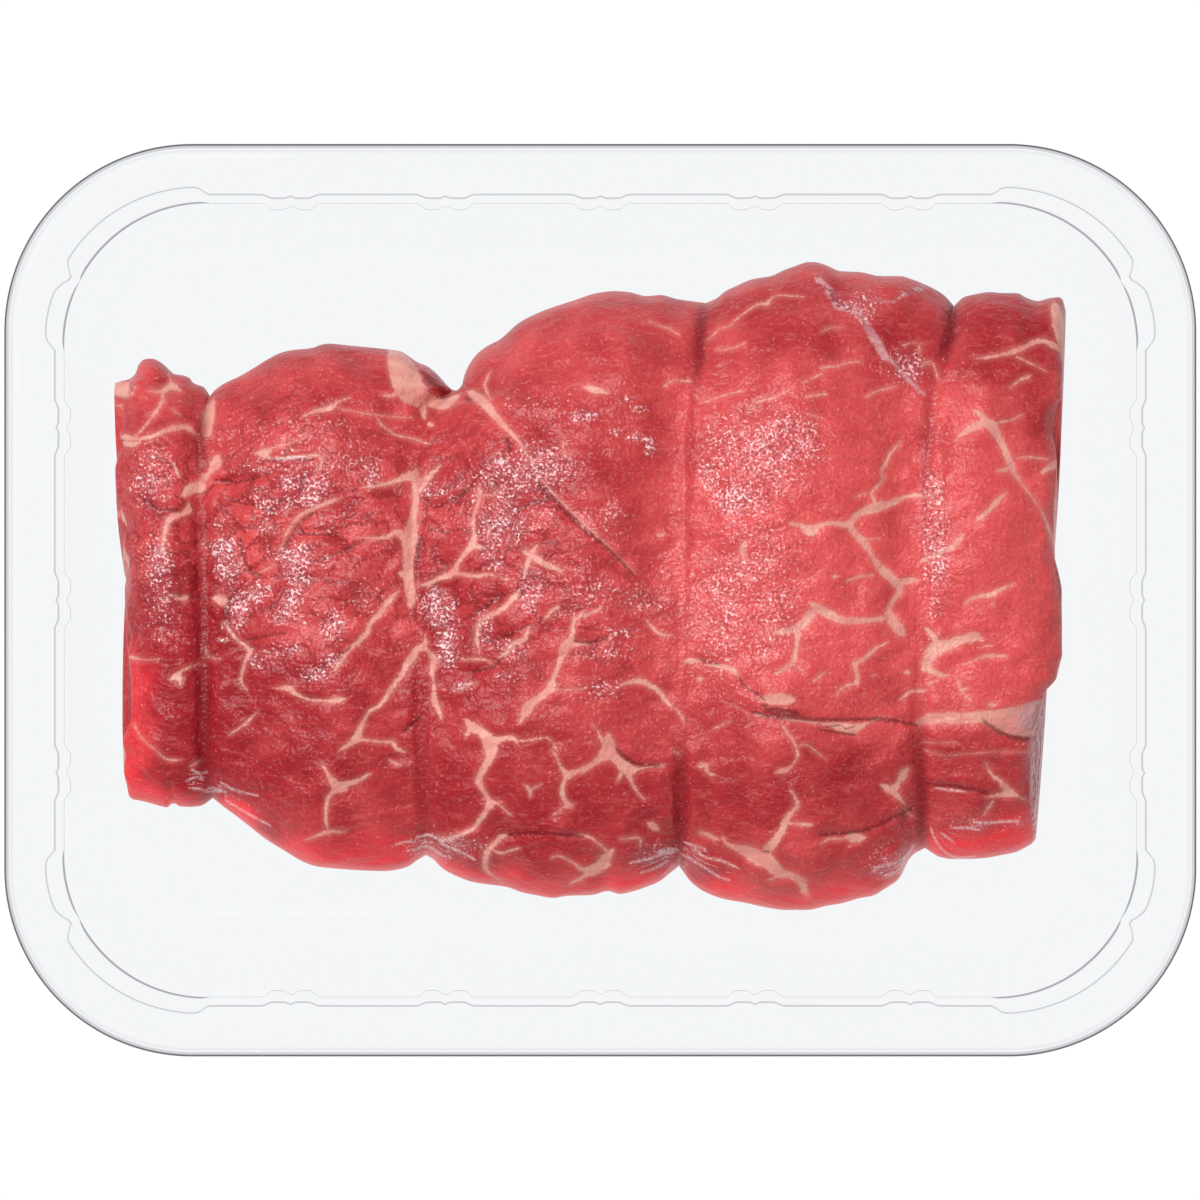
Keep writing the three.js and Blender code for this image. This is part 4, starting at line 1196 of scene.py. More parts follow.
def make_joint_mesh(settings):
    """The beef joint, with the fields that its material reads."""
    points, faces, turned, between = joint_surface()
    photo = np.stack(to_photo(points[:, 0], points[:, 1], np.maximum(points[:, 2], WIDEST_LEVEL)), 1)
    scale = shown_scale(TOP_LEVEL)
    edge = np.interp(photo[:, 1], [y for _, y in END_FACE_EDGE], [x for x, _ in END_FACE_EDGE])
    in_face = (photo[:, 0] > edge - 1.5) & (photo[:, 1] > END_FACE_BACK)
    seen = smooth(-0.02, 0.05, turned)
    seen[: between.start] = 0
    seen[between.stop :] = in_face[between.stop :]
    hidden = seen < 0.5

    away = [np.abs(photo[:, 0] - rail_at(k, photo[:, 1])) * scale for k in range(1, 5)]
    along = points @ CELL_WAY
    squeezed = points - along[:, None] * CELL_WAY * (1 - CELL_SQUEEZE)
    cell_edge, cell_value = cells(squeezed, CELL_SIZE, 61, 0.8)
    fold = np.clip(patches(photo, FOLDS), 0.12, 1)
    fields = {
        "seams": spread_in_channels(photo, SEAMS, 6),
        "crease": np.hstack(spread_in_channels(photo, CREASES, 1)),
        "wrinkle": np.hstack(spread_in_channels(photo, WRINKLES, 1)),
        "groove": np.minimum.reduce(away),
        "cell": cell_edge,
        "fold": fold,
    }
    sheath = sheath_distance(points, photo, (edge + 1 - photo[:, 0]) * scale)
    upper = smooth(WIDEST_LEVEL + 1, WIDEST_LEVEL + 9, points[:, 2])
    points[:, 2] += relief(points, photo, fields) * upper * settings.relief

    # Where the photo shows nothing there are no traced lines or glints, and the cut faces are plain
    hide_unseen(*fields["seams"], points, hidden)
    for lines in (fields["crease"], fields["wrinkle"]):
        lines[hidden] = FAR_LINE
    on_end = hidden.copy()
    on_end[between] = False
    cell_edge[on_end], cell_value[on_end], fold[on_end] = PLAIN_CELL
    glow, rim = light_from_below(points, photo, seen)
    offsets, widths = fields["seams"]
    zeros = np.zeros(len(points))
    attributes = {
        "seam_offset_a": offsets[:, :3],
        "seam_offset_b": offsets[:, 3:],
        "seam_width_a": widths[:, :3],
        "seam_width_b": widths[:, 3:],
        "crease": np.column_stack([fields["crease"], zeros]),
        "wrinkle": np.column_stack([fields["wrinkle"], zeros]),
        "groove": fields["groove"],
        "sheath": sheath,
        "tone": patches(photo, TONES) + 0.14 * ripple(points, 11, 41) + 0.16 * fold * (cell_value - 0.5),
        "shade": patches(photo, SHADES),
        "glint": patches(photo, GLINTS) * seen * (0.55 + 0.7 * cell_value),
        "cell": np.column_stack([cell_edge, cell_value, fold]),
        "glow": glow,
        "rim": rim,
    }
    return mesh_object("beef_joint_dressed", points, faces, attributes)


def lug_reach(degrees):
    """How far a stacking lug reaches outwards, at an angle round the corner."""
    xs, ys = zip(*LUG_REACH)
    return float(curve(xs, ys, degrees))


def wall_places(straight, ribs, pitch):
    """Places along half a wall, close together at its ribs."""
    places = set(np.round(np.arange(0, straight, WALL_STEP), 3))
    for k in range((ribs + 1) // 2):
        near = np.arange(-RIB_REACH, RIB_REACH + 0.01, RIB_STEP)
        places |= set(np.round(k * pitch + near, 3))
    places = sorted(p for p in places if 0 <= p < straight - CORNER_GAP)
    kept = places[:1]
    for place in places[1:]:
        if place - kept[-1] > LEAST_STEP:
            kept.append(place)
    return kept


def corner_stations(opening, half):
    """Stations round a corner; its ends stand a little way along the walls."""
    rows = []
    for degrees in np.arange(-2, 91.6, CORNER_STEP):
        turn = math.radians(min(max(degrees, 0), 90))
        past = math.radians(degrees) - turn
        out = np.array([math.cos(turn), math.sin(turn)])
        shift = np.array([-max(past, 0), min(past, 0)])
        point = opening - OPENING_RADIUS + out * OPENING_RADIUS + shift * OPENING_RADIUS
        rim = half - RIM_RADIUS + out * RIM_RADIUS + shift * RIM_RADIUS
        rows.append((point, out, rim, lug_reach(degrees), FAR, 0.0))
    return rows


def tray_stations(settings):
    """Points round the opening, with the way out, the mate on the rim, and where on which wall."""
    half = np.array([TRAY_LENGTH / 2, TRAY_WIDTH / 2])
    opening = half - FLANGE_WIDTH
    spread = (half - RIM_RADIUS) / (opening - OPENING_RADIUS)
    walls = {}
    kinds = ((1, SHORT_WALL, 3, settings.short_pitch / MM), (0, LONG_WALL, 5, settings.long_pitch / MM))
    for axis, wall, ribs, pitch in kinds:
        walls[wall] = []
        for place in wall_places(opening[axis] - OPENING_RADIUS, ribs, pitch):
            point, out, rim = opening.copy(), np.zeros(2), half.copy()
            point[axis], out[1 - axis], rim[axis] = place, 1.0, place * spread[axis]
            walls[wall].append((point, out, rim, 0.0, place, wall))
    quarter = walls[SHORT_WALL] + corner_stations(opening, half) + walls[LONG_WALL][::-1]
    whole = []
    for sign, way in (((1, 1), 1), ((-1, 1), -1), ((-1, -1), 1), ((1, -1), -1)):
        whole += [(p * sign, o * sign, r * sign, *rest) for p, o, r, *rest in quarter[::way]][:-1]
    return [np.array(column, float) for column in zip(*whole)]


def tray_rings(stations):
    """The tray's rings of points with their depth, rib share and painted shade line, inside then outside.
    """
    point, out, rim, reach, _, _ = stations
    lug = np.minimum(reach / FULL_LUG_REACH, 1)
    slant = SHEET / math.cos(WALL_DRAFT)
    turn = math.pi / 2 - WALL_DRAFT
    floor_depth = RIM_HEIGHT - SHEET
    centre_inset = floor_depth * math.tan(WALL_DRAFT) + FLOOR_FILLET * math.tan(turn / 2)
    centre_depth = floor_depth - FLOOR_FILLET
    wall_top = centre_depth + FLOOR_FILLET * math.cos(turn)
    rings = []

    # line: painted shade where the sheet bends sharply
    def put(flat, depth, outline=0.0, rib=0.0, line=0.0):
        height = np.full(len(flat), RIM_HEIGHT - depth)
        rings.append((np.column_stack([flat, height]), outline, rib, line))

    def wall(outline, lugs, shift=0.0, drop=0.0, line=0.0):
        plain = -outline * math.tan(WALL_DRAFT)
        pocket = reach - LUG_BACK_DRAFT * outline / LEDGE_DEPTH
        outwards = lerp(plain, pocket, lug * lugs) + shift
        put(point + out * outwards[:, None], outline + drop, outline, 1.0, line)

    def fillet(sheet, shares):
        for part in shares:
            radius = FLOOR_FILLET + sheet
            inset = centre_inset - radius * math.sin(turn * part)
            depth = centre_depth + radius * math.cos(turn * part)
            put(point - out * inset, depth, depth, float(smooth(0.55, 1, part)))

    def floor(depth, scales):
        for scale in scales:
            put((point - out * centre_inset) * scale, depth, depth)

    def top_bend(degrees, shift=0.0, drop=0.0, line=0.0):
        bend = math.radians(degrees)
        outline = TOP_BEND * (1 - math.sin(bend))
        wall(outline, 1, TOP_BEND * (1 - math.cos(bend)) + shift, drop, line)

    def lip(outwards, depth, line=0.0):
        put(rim + out * outwards, depth, line=line)

    floor(floor_depth, (0.25, 0.55, 0.8, 0.93))
    fillet(0.0, np.linspace(0, 1, 9))
    for outline in (*np.linspace(wall_top, 16, 12)[1:], 13.5, 11, 9, 7.5, 6.7):
        wall(outline, 0)
    for outline, lugs, line in LEDGE_STEPS:
        wall(outline, lugs, line=line)
    for outline in (5.95, 4.8, 3.6, 2.4, 1.4):
        wall(outline, 1)
    for degrees, line in ((0, 0), (20, 0), (30, 0.42), (46, 0.42), (56, 0), (80, 0)):
        top_bend(degrees, line=line)
    wall(0.0, 1, TOP_BEND)
    start = point + out * (lerp(0, reach, lug)[:, None] + TOP_BEND)
    for part in (0.3, 0.65, 0.93):
        put(lerp(start, rim - out * LIP_ROLL, part), 0.0)
    for degrees, line in ((0, 0.1), (8, 0.1), (14, 0), (44, 0), (52, 0.9), (70, 1), (90, 1)):
        bend = math.radians(degrees)
        lip(-LIP_ROLL * (1 - math.sin(bend)), LIP_ROLL * (1 - math.cos(bend)), line)
    lip(0.0, LIP_ROLL + 0.25, 0.4)
    lip(0.0, LIP_DROP - LIP_EDGE, 0.3)
    lip(-0.1, LIP_DROP, 0.5)
    lip(-SHEET + 0.1, LIP_DROP, 0.3)
    lip(-SHEET, LIP_DROP - LIP_EDGE)
    for degrees in (90, 70, 50, 30, 12, 0):
        bend = math.radians(degrees)
        radius = LIP_ROLL - SHEET
        lip(-LIP_ROLL + radius * math.sin(bend), LIP_ROLL - radius * math.cos(bend))
    for degrees in (84, 55, 28, 0):
        top_bend(degrees, slant, SHEET)
    for outline, lugs in ((3.6, 1), (5.95, 1), (6.12, 0.5), (6.35, 0.02)):
        wall(outline, lugs, slant, SHEET)
    for outline in (7.5, 10, 14, 22, 30, 38, wall_top):
        wall(outline, 0, slant)
    fillet(SHEET, np.linspace(1, 0, 8)[1:])
    floor(RIM_HEIGHT, (0.93, 0.5))
    return rings


def make_tray_mesh(settings):
    """The tray before its ribs are pressed in."""
    stations = tray_stations(settings)
    rings = tray_rings(stations)
    count = len(stations[0])
    points = np.vstack([ring[0] for ring in rings] + [[0, 0, SHEET], [0, 0, 0]])
    middles = np.zeros((2, 1))

    def of_rings(k):
        values = np.repeat(np.array([[ring[k]] for ring in rings], float), count, axis=0)
        return np.vstack([values, middles])[:, 0]

    def of_stations(k):
        return np.vstack([np.tile(stations[k][:, None], (len(rings), 1)), middles])[:, 0]

    out = np.vstack([np.tile(stations[1], (len(rings), 1)), np.zeros((2, 2))])
    attributes = {
        "out": np.column_stack([out, np.zeros(len(points))]),
        "along": of_stations(4) * MM,
        "wall": of_stations(5),
        "depth": of_rings(1) * MM,
        "rib_share": of_rings(2),
        "line": of_rings(3),
    }
    total = len(rings) * count
    faces = loft_faces(len(rings), count, total, total + 1)
    return mesh_object("tray_dressed", points, faces, attributes)


def add(tree, kind, inputs=(), output=0, **settings):
    """A node with its settings. An input is a socket to link, a colour's hex code or a value."""
    kind, _, operation = kind.partition(" ")
    made = tree.nodes.new(kind if kind.startswith("Geometry") else "ShaderNode" + kind)
    if operation:
        made.operation = operation
    for name, value in settings.items():
        setattr(made, name, value)
    for key, value in inputs.items() if isinstance(inputs, dict) else enumerate(inputs):
        if isinstance(value, bpy.types.NodeSocket):
            tree.links.new(value, made.inputs[key])
        else:
            made.inputs[key].default_value = linear(value) if str(value).startswith("#") else value
    return made.outputs[output] if made.outputs else made


def layered(tree, colour, layers):
    """Colours laid over one another, each with where it lies and how strong it is there."""
    for where, strength, over in layers:
        share = add(tree, "Math MULTIPLY", [where, strength])
        colour = add(tree, "Mix", {0: share, 6: colour, 7: over}, 2, data_type="RGBA")
    return colour


def rib_nodes(sizes):
    """A Geometry Nodes tree that presses the same rib into a wall at every pitch."""
    tree = bpy.data.node_groups.new("Tray ribs", "GeometryNodeTree")
    sockets = [("Geometry", "Geometry"), ("Material", "Material"), *[(name, "Float") for name in sizes]]
    for name, kind in sockets:
        tree.interface.new_socket(name, in_out="INPUT", socket_type="NodeSocket" + kind)
    tree.interface.new_socket("Geometry", in_out="OUTPUT", socket_type="NodeSocketGeometry")
    given = tree.nodes.new("NodeGroupInput").outputs
    out = tree.nodes.new("NodeGroupOutput")
    kinds = {name: "FLOAT" for name in ("along", "wall", "depth", "rib_share")}
    along, wall, depth, rib_share, outwards = [
        add(tree, "GeometryNodeInputNamedAttribute", {"Name": name}, data_type=kind)
        for name, kind in {**kinds, "out": "FLOAT_VECTOR"}.items()
    ]

    # How far each point is along its wall from the middle of the nearest rib
    long_wall = add(tree, "Math COMPARE", [wall, LONG_WALL, 0.1])
    short_wall = add(tree, "Math COMPARE", [wall, SHORT_WALL, 0.1])
    either = add(tree, "Math ADD", [long_wall, short_wall])
    pitch = add(tree, "Math SUBTRACT", [1.0, either])
    pitch = add(tree, "Math MULTIPLY_ADD", [given["Short wall pitch"], short_wall, pitch])
    pitch = add(tree, "Math MULTIPLY_ADD", [given["Long wall pitch"], long_wall, pitch])
    away = add(tree, "Math PINGPONG", [along, add(tree, "Math MULTIPLY", [pitch, 0.5])])

    # The rib's section, with a valley down its middle, and how far it stands in at each depth
    flank = add(tree, "MapRange", [away, given["Half width"], given["Crest"]], **SOFT)
    valley = [depth, 0.0, VALLEY_DEPTH, given["Valley at rim"], given["Valley"]]
    ratio = add(tree, "Math DIVIDE", [away, add(tree, "MapRange", valley)])
    squared = add(tree, "Math MULTIPLY", [ratio, ratio])
    bell = add(tree, "Math EXPONENT", [add(tree, "Math MULTIPLY", [squared, -1.0])])
    dip = add(tree, "Math SUBTRACT", [1.0, add(tree, "Math MULTIPLY", [bell, VALLEY_SHARE])])
    profile = add(tree, "Math MULTIPLY", [flank, dip])
    down = add(tree, "MapRange", [depth, 0.0, given["Full depth"]], **SOFT)
    relief_here = add(tree, "Mix", {0: down, 2: given["Relief at rim"], 3: given["Relief"]})
    push = add(tree, "Math MULTIPLY", [profile, relief_here])
    push = add(tree, "Math MULTIPLY", [push, add(tree, "Math MULTIPLY", [rib_share, either])])
    inwards = add(tree, "Math MULTIPLY", [push, -1.0])
    offset = add(tree, "VectorMath SCALE", {0: outwards, "Scale": inwards})
    moved = add(tree, "GeometryNodeSetPosition", {"Geometry": given["Geometry"], "Offset": offset})
    plain = add(tree, "GeometryNodeRealizeInstances", {"Geometry": moved})
    dressed = add(tree, "GeometryNodeSetMaterial", {"Geometry": plain, "Material": given["Material"]})
    tree.links.new(dressed, out.inputs["Geometry"])
    return tree


def press_ribs(tray, settings, material):
    """Presses the ribs into the tray, which stays a plain mesh."""
    sizes = {
        "Long wall pitch": settings.long_pitch,
        "Short wall pitch": settings.short_pitch,
        "Half width": settings.rib_half_width,
        "Crest": settings.rib_crest,
        "Valley at rim": settings.rib_valley_at_rim,
        "Valley": settings.rib_valley,
        "Relief at rim": settings.rib_relief_at_rim,
        "Relief": settings.rib_relief,
        "Full depth": settings.rib_full_depth,
    }
    modifier = tray.modifiers.new("Ribs", "NODES")
    modifier.node_group = rib_nodes(sizes)
    values = {**sizes, "Material": material}
    for item in modifier.node_group.interface.items_tree:
        if item.in_out == "INPUT" and item.name in values:
            modifier[item.identifier] = values[item.name]
    graph = bpy.context.evaluated_depsgraph_get()
    ribbed = bpy.data.meshes.new_from_object(tray.evaluated_get(graph))
    tray.modifiers.remove(modifier)
    smooth_walled = tray.data
    tray.data = ribbed
    bpy.data.meshes.remove(smooth_walled)
    tray.data.name = tray.name


def new_material(name):
    material = bpy.data.materials.new(name)
    material.use_nodes = True
    material.node_tree.nodes.clear()
    return material, material.node_tree


def clear_sheet_material(settings):
    """Clear PET sheet, thermoformed: thin, glossy, hardly tinted, with painted shade only at its bends."""
    # The sheet is too thin to bend light much, so the eye sees straight through it. It shows
    # only by faint grey lines of painted shade where it turns, and by small bright reflections on the ribs.
    material, tree = new_material("Clear PET sheet")
    facing = add(tree, "Fresnel", {"IOR": 1.52})
    slanting = add(tree, "Math POWER", [facing, 3.0])
    straight = add(tree, "Math MULTIPLY", [facing, 0.04])
    mirror = add(tree, "Math MULTIPLY_ADD", [slanting, settings.reflection, straight])
    front = add(tree, "Math SUBTRACT", [1.0, add(tree, "NewGeometry", output="Backfacing")])
    mirror = add(tree, "Math MULTIPLY", [mirror, front])
    # Painted shade along the sharp bends, in the colour of the light that comes through
    line = add(tree, "Attribute", output="Fac", attribute_name="line")
    tint = layered(tree, settings.sheet_code, [(line, settings.bend_shade_strength, settings.bend_shade_code)])
    through = add(tree, "BsdfTransparent", {"Color": tint})
    gloss = add(tree, "BsdfGlossy", {"Color": "#FFFFFF", "Roughness": 0.03})
    add(tree, "OutputMaterial", [add(tree, "MixShader", [mirror, through, gloss])])
    return material


def beef_material(settings):
    """Raw beef: wet lean fibre with fat seams, silverskin and string grooves."""
    # Lean scatters light under its skin and is mottled along its fibres. Fat seams come from
    # signed distances on the mesh, so their edges stay crisp, and a thin wet coat glints. Painted
    # highlights, a painted sheen, painted shade in grooves, folds and creases, and painted light
    # through the lower rim lie in the colour too.
    material, tree = new_material("Raw beef, lean with fat seams")
    numbers = ("groove", "sheath", "tone", "shade", "glint", "glow", "rim")
    groove, sheath_way, tone_here, shade, glint, glow, rim = [
        add(tree, "Attribute", output="Fac", attribute_name=name) for name in numbers
    ]
    vectors = ("seam_offset_a", "seam_width_a", "seam_offset_b", "seam_width_b", "cell")
    offset_a, width_a, offset_b, width_b, cell = [
        add(tree, "Attribute", output="Vector", attribute_name=name) for name in vectors
    ]
    in_mm = add(tree, "VectorMath SCALE", {0: add(tree, "TexCoord", output="Object"), "Scale": 1 / MM})
    stretched = add(tree, "VectorMath MULTIPLY", [in_mm, FIBRE_STRETCH])
    spot = add(tree, "SeparateXYZ", [in_mm]).node.outputs
    cell = add(tree, "SeparateXYZ", [cell]).node.outputs
    grains = (
        (stretched, 0.3, 1.0, 0.55),
        (stretched, 1.0, 1.0, 0.6),
        (in_mm, 1.75, 0.0, 0.6),
        (in_mm, 0.95, 1.0, 0.6),
    )
    bundle, fibre, fine, worm = [
        add(tree, "TexNoise", {"Vector": way, "Scale": scale, "Detail": detail, "Roughness": roughness})
        for way, scale, detail, roughness in grains
    ]
    bundle_off, fibre_off, fine_off, worm_off = [
        add(tree, "Math SUBTRACT", [grain, 0.5]) for grain in (bundle, fibre, fine, worm)
    ]

    # Fat, from the nearest of the traced seams, with an uneven edge and a faint halo
    near = [
        add(tree, "VectorMath SUBTRACT", [add(tree, "VectorMath ABSOLUTE", [offset]), width])
        for offset, width in ((offset_a, width_a), (offset_b, width_b))
    ]
    parts = add(tree, "SeparateXYZ", [add(tree, "VectorMath MINIMUM", near)]).node.outputs
    edge = add(tree, "Math SMOOTH_MIN", [parts[0], parts[1], SEAM_BLEND])
    edge = add(tree, "Math SMOOTH_MIN", [edge, parts[2], SEAM_BLEND])
    edge = add(tree, "Math MULTIPLY_ADD", [fibre_off, 0.55, edge])
    edge = add(tree, "Math MULTIPLY_ADD", [fine_off, 0.5, edge])
    fat = add(tree, "MapRange", [edge, 0.12, -0.4], **SOFT)
    halo = add(tree, "MapRange", [edge, 1.0, -0.1], **SOFT)
    pink = add(tree, "MapRange", [bundle, 0.35, 0.65], **SOFT)
    fat_colour = layered(tree, settings.fat_code, [(pink, 1.0, settings.fat_pink_code)])

    # Lean: light and deep patches, pale fibres, dark pores, threads, and painted shade in the folds between
    # bundles
    tone = add(tree, "Math MULTIPLY_ADD", [bundle_off, 0.3, tone_here])
    light = add(tree, "MapRange", [tone, -0.9, 0.9], **SOFT)
    pale_fibre = add(tree, "MapRange", [fibre, 0.5, 0.75], **SOFT)
    pore = add(tree, "MapRange", [fine, 0.5, 0.25], **SOFT)
    thread = add(tree, "MapRange", [add(tree, "Math ABSOLUTE", [bundle_off]), 0.014, 0.003], **SOFT)
    # Painted shade in the creases between bundles of muscle
    fold_edge = add(tree, "Math MULTIPLY_ADD", [fine_off, 0.3, cell[0]])
    fold = add(tree, "MapRange", [fold_edge, 0.3, 0.08], **SOFT)
    fold = add(tree, "Math MULTIPLY", [fold, cell[2]])
    # Painted light through the lower rim, stronger along the pale fibres
    glow_strength = add(tree, "MapRange", [fibre, 0.3, 0.6, 0.58, 0.84], **SOFT)
    # Painted shade in the string grooves, strongest near their middle lines
    in_groove = add(tree, "MapRange", [groove, 2.6, 0.3], **SOFT)

    # Silverskin: streaks on the right end, and whole and pale over the top
    sheath_edge = add(tree, "Math MULTIPLY_ADD", [fine_off, 0.8, sheath_way])
    sheath = add(tree, "MapRange", [sheath_edge, 0.35, -0.45], **SOFT)
    turn = add(tree, "Math MULTIPLY_ADD", [spot[2], 1.6, add(tree, "Math MULTIPLY", [bundle, 14.0])])
    streak = add(tree, "Math SINE", [add(tree, "Math MULTIPLY_ADD", [worm, 9.0, turn])])
    streak = add(tree, "MapRange", [streak, -0.5, 0.6], **SOFT)
    whole = add(tree, "MapRange", [spot[2], 36.0, 42.0, 0.0, 0.85], **SOFT)
    pale_skin = add(tree, "Math MAXIMUM", [streak, whole])
    skin_colour = layered(tree, settings.silverskin_dark_code, [(pale_skin, 1.0, settings.silverskin_code)])

    # Painted shade in creases and painted highlights on wet wrinkles, from the traced lines
    traced = []
    for name, soft in (("crease", 0.35), ("wrinkle", 0.25)):
        line = add(tree, "Attribute", output="Vector", attribute_name=name)
        line = add(tree, "SeparateXYZ", [line]).node.outputs
        away = add(tree, "Math SUBTRACT", [add(tree, "Math ABSOLUTE", [line[0]]), line[1]])
        away = add(tree, "Math MULTIPLY_ADD", [fine_off, 0.6, away])
        traced.append(add(tree, "MapRange", [away, soft, -soft * 0.6], **SOFT))
    crease, wrinkle = traced

    # Painted wet sheen: painted highlight specks where the fine grain is high, a faint painted sheen
    # between them and painted shade in the gaps
    stroke = add(tree, "MapRange", [add(tree, "Math ABSOLUTE", [worm_off]), 0.07, 0.01], **SOFT)
    wet = add(tree, "Math MULTIPLY_ADD", [stroke, 0.3, fine])
    wet = add(tree, "Math MULTIPLY_ADD", [add(tree, "Math MINIMUM", [glint, 1.3]), 0.235, wet])
    broken = add(tree, "MapRange", [wet, 0.4, 0.75, 0.25, 1.0], **SOFT)
    wrinkle = add(tree, "Math MULTIPLY", [wrinkle, broken])
    # A faint painted pink sheen where the wet fibres glint
    haze = add(tree, "MapRange", [glint, 0.1, 1.3, 0.0, 0.28], **SOFT)
    gap_shade = add(tree, "MapRange", [fine, 0.5, 0.3], **SOFT)
    gap_shade_strength = add(tree, "MapRange", [glint, 0.1, 1.0, 0.0, 0.42], **SOFT)
    paint = settings.painted_glint_strength
    paint_here = add(tree, "MapRange", [glint, 0.0, 0.7, paint * 0.3, paint], **SOFT)
    # Painted highlight grains, paler where the glints are strong
    speck = add(tree, "MapRange", [wet, 0.9, 1.13], **SOFT)
    speck = add(tree, "Math MULTIPLY", [speck, paint_here])
    bare = add(tree, "MapRange", [fat, 0.2, 1.0, 1.0, 0.35], **SOFT)

    # Painted light and shade among these: folds, lower-rim glow and edge, groove shade, creases, wrinkles,
    # sheen, gaps and specks
    layers = [
        (light, 1.0, settings.lean_light_code),
        (pale_fibre, 0.14, settings.fibre_code),
        (pore, 0.14, settings.shade_and_pore_code),
        (thread, 0.14, settings.fibre_code),
        (fold, 0.6, settings.shade_and_pore_code),
        (glow, glow_strength, settings.glow_code),
        (rim, 0.6, settings.rim_light_code),
        (halo, 0.16, settings.fat_code),
        (fat, 0.95, fat_colour),
        (shade, in_groove, settings.shade_and_pore_code),
        (sheath, 0.8, skin_colour),
        (crease, 0.6, settings.crease_shade_code),
        (wrinkle, 0.65, settings.painted_highlight_code),
        (haze, 1.0, settings.painted_sheen_code),
        (gap_shade, gap_shade_strength, settings.shade_and_pore_code),
        (speck, bare, settings.painted_highlight_code),
    ]
    fine_height = add(tree, "MapRange", [glint, 0.0, 1.2, 0.15, 0.5], **SOFT)
    height = add(tree, "Math MULTIPLY", [fine, fine_height])
    height = add(tree, "Math MULTIPLY_ADD", [worm, 0.5, height])
    bump = add(tree, "Bump", {"Strength": 1.0, "Distance": settings.bump, "Height": height})
    body = {
        "Base Color": layered(tree, settings.lean_deep_code, layers),
        "Roughness": 0.45,
        "IOR": 1.4,
        "Specular IOR Level": 0.3,
        "Subsurface Weight": settings.scatter,
        "Subsurface Radius": (1.0, 0.22, 0.14),
        "Subsurface Scale": settings.scatter_depth,
        "Coat Weight": add(tree, "MapRange", [glint, 0.0, 1.0, 0.2, 0.9], **SOFT),
        "Coat Roughness": 0.18,
        "Coat IOR": 1.36,
        # A weak painted glow of light through the lower rim
        "Emission Color": settings.glow_code,
        "Emission Strength": add(tree, "Math MULTIPLY", [glow, settings.shine_through]),
        "Normal": bump,
        "Coat Normal": bump,
    }
    material.cycles.emission_sampling = "NONE"
    add(tree, "OutputMaterial", [add(tree, "BsdfPrincipled", body)])
    return material


def colour_code(name, description, default):
    """A colour that a user may change, as its sRGB hex code."""
    return bpy.props.StringProperty(name=name, description=description, default=default, maxlen=7)


def length(name, description, default):
    """A length that a user may change, in metres."""
    return bpy.props.FloatProperty(
        name=name, description=description, default=default, precision=4, unit="LENGTH"
    )


def amount(name, description, default, most=1):
    """A strength that a user may change."""
    return bpy.props.FloatProperty(
        name=name, description=description, default=default, min=0, max=most, subtype="FACTOR"
    )


def brightness(name, description, default):
    """A brightness that a user may change, where 1 is white."""
    return bpy.props.FloatProperty(name=name, description=description, default=default, min=0)


class TraySettings(bpy.types.PropertyGroup):
    """Sizes and looks of the clear tray"""

    long_pitch: length("Long wall rib pitch", "From rib to rib on a long wall", 0.0297)
    short_pitch: length("Short wall rib pitch", "From rib to rib on a short wall", 0.0331)
    rib_half_width: length("Rib half width", "From a rib's middle to its foot", 0.0056)
    rib_crest: length("Rib crest", "From a rib's middle to where its flank is at full height", 0.0034)
    rib_valley_at_rim: length("Valley at rim", "Half width of the valley in a rib, at the rim", 0.0005)
    rib_valley: length("Valley", "Half width of the valley in a rib, lower down", 0.0022)
    rib_relief_at_rim: length("Relief at rim", "How far a rib stands in from the wall at the rim", 0.0007)
    rib_relief: length("Relief", "How far a rib stands in from the wall lower down", 0.0015)
    rib_full_depth: length("Full depth", "How far under the rim a rib reaches its full relief", 0.01)
    reflection: amount("Reflection", "How much of the sheet's mirror reflection shows", 0.38)
    # Painted shade where the sheet bends sharply
    bend_shade_strength: amount("Line strength", "How dark the sheet looks where it bends sharply", 0.9)
    bend_shade_code: colour_code("Line colour", "Colour of the sheet's sharp bends", "#5F5C66")
    sheet_code: colour_code("Sheet colour", "Colour of the light that comes through the sheet", "#F9FAFB")


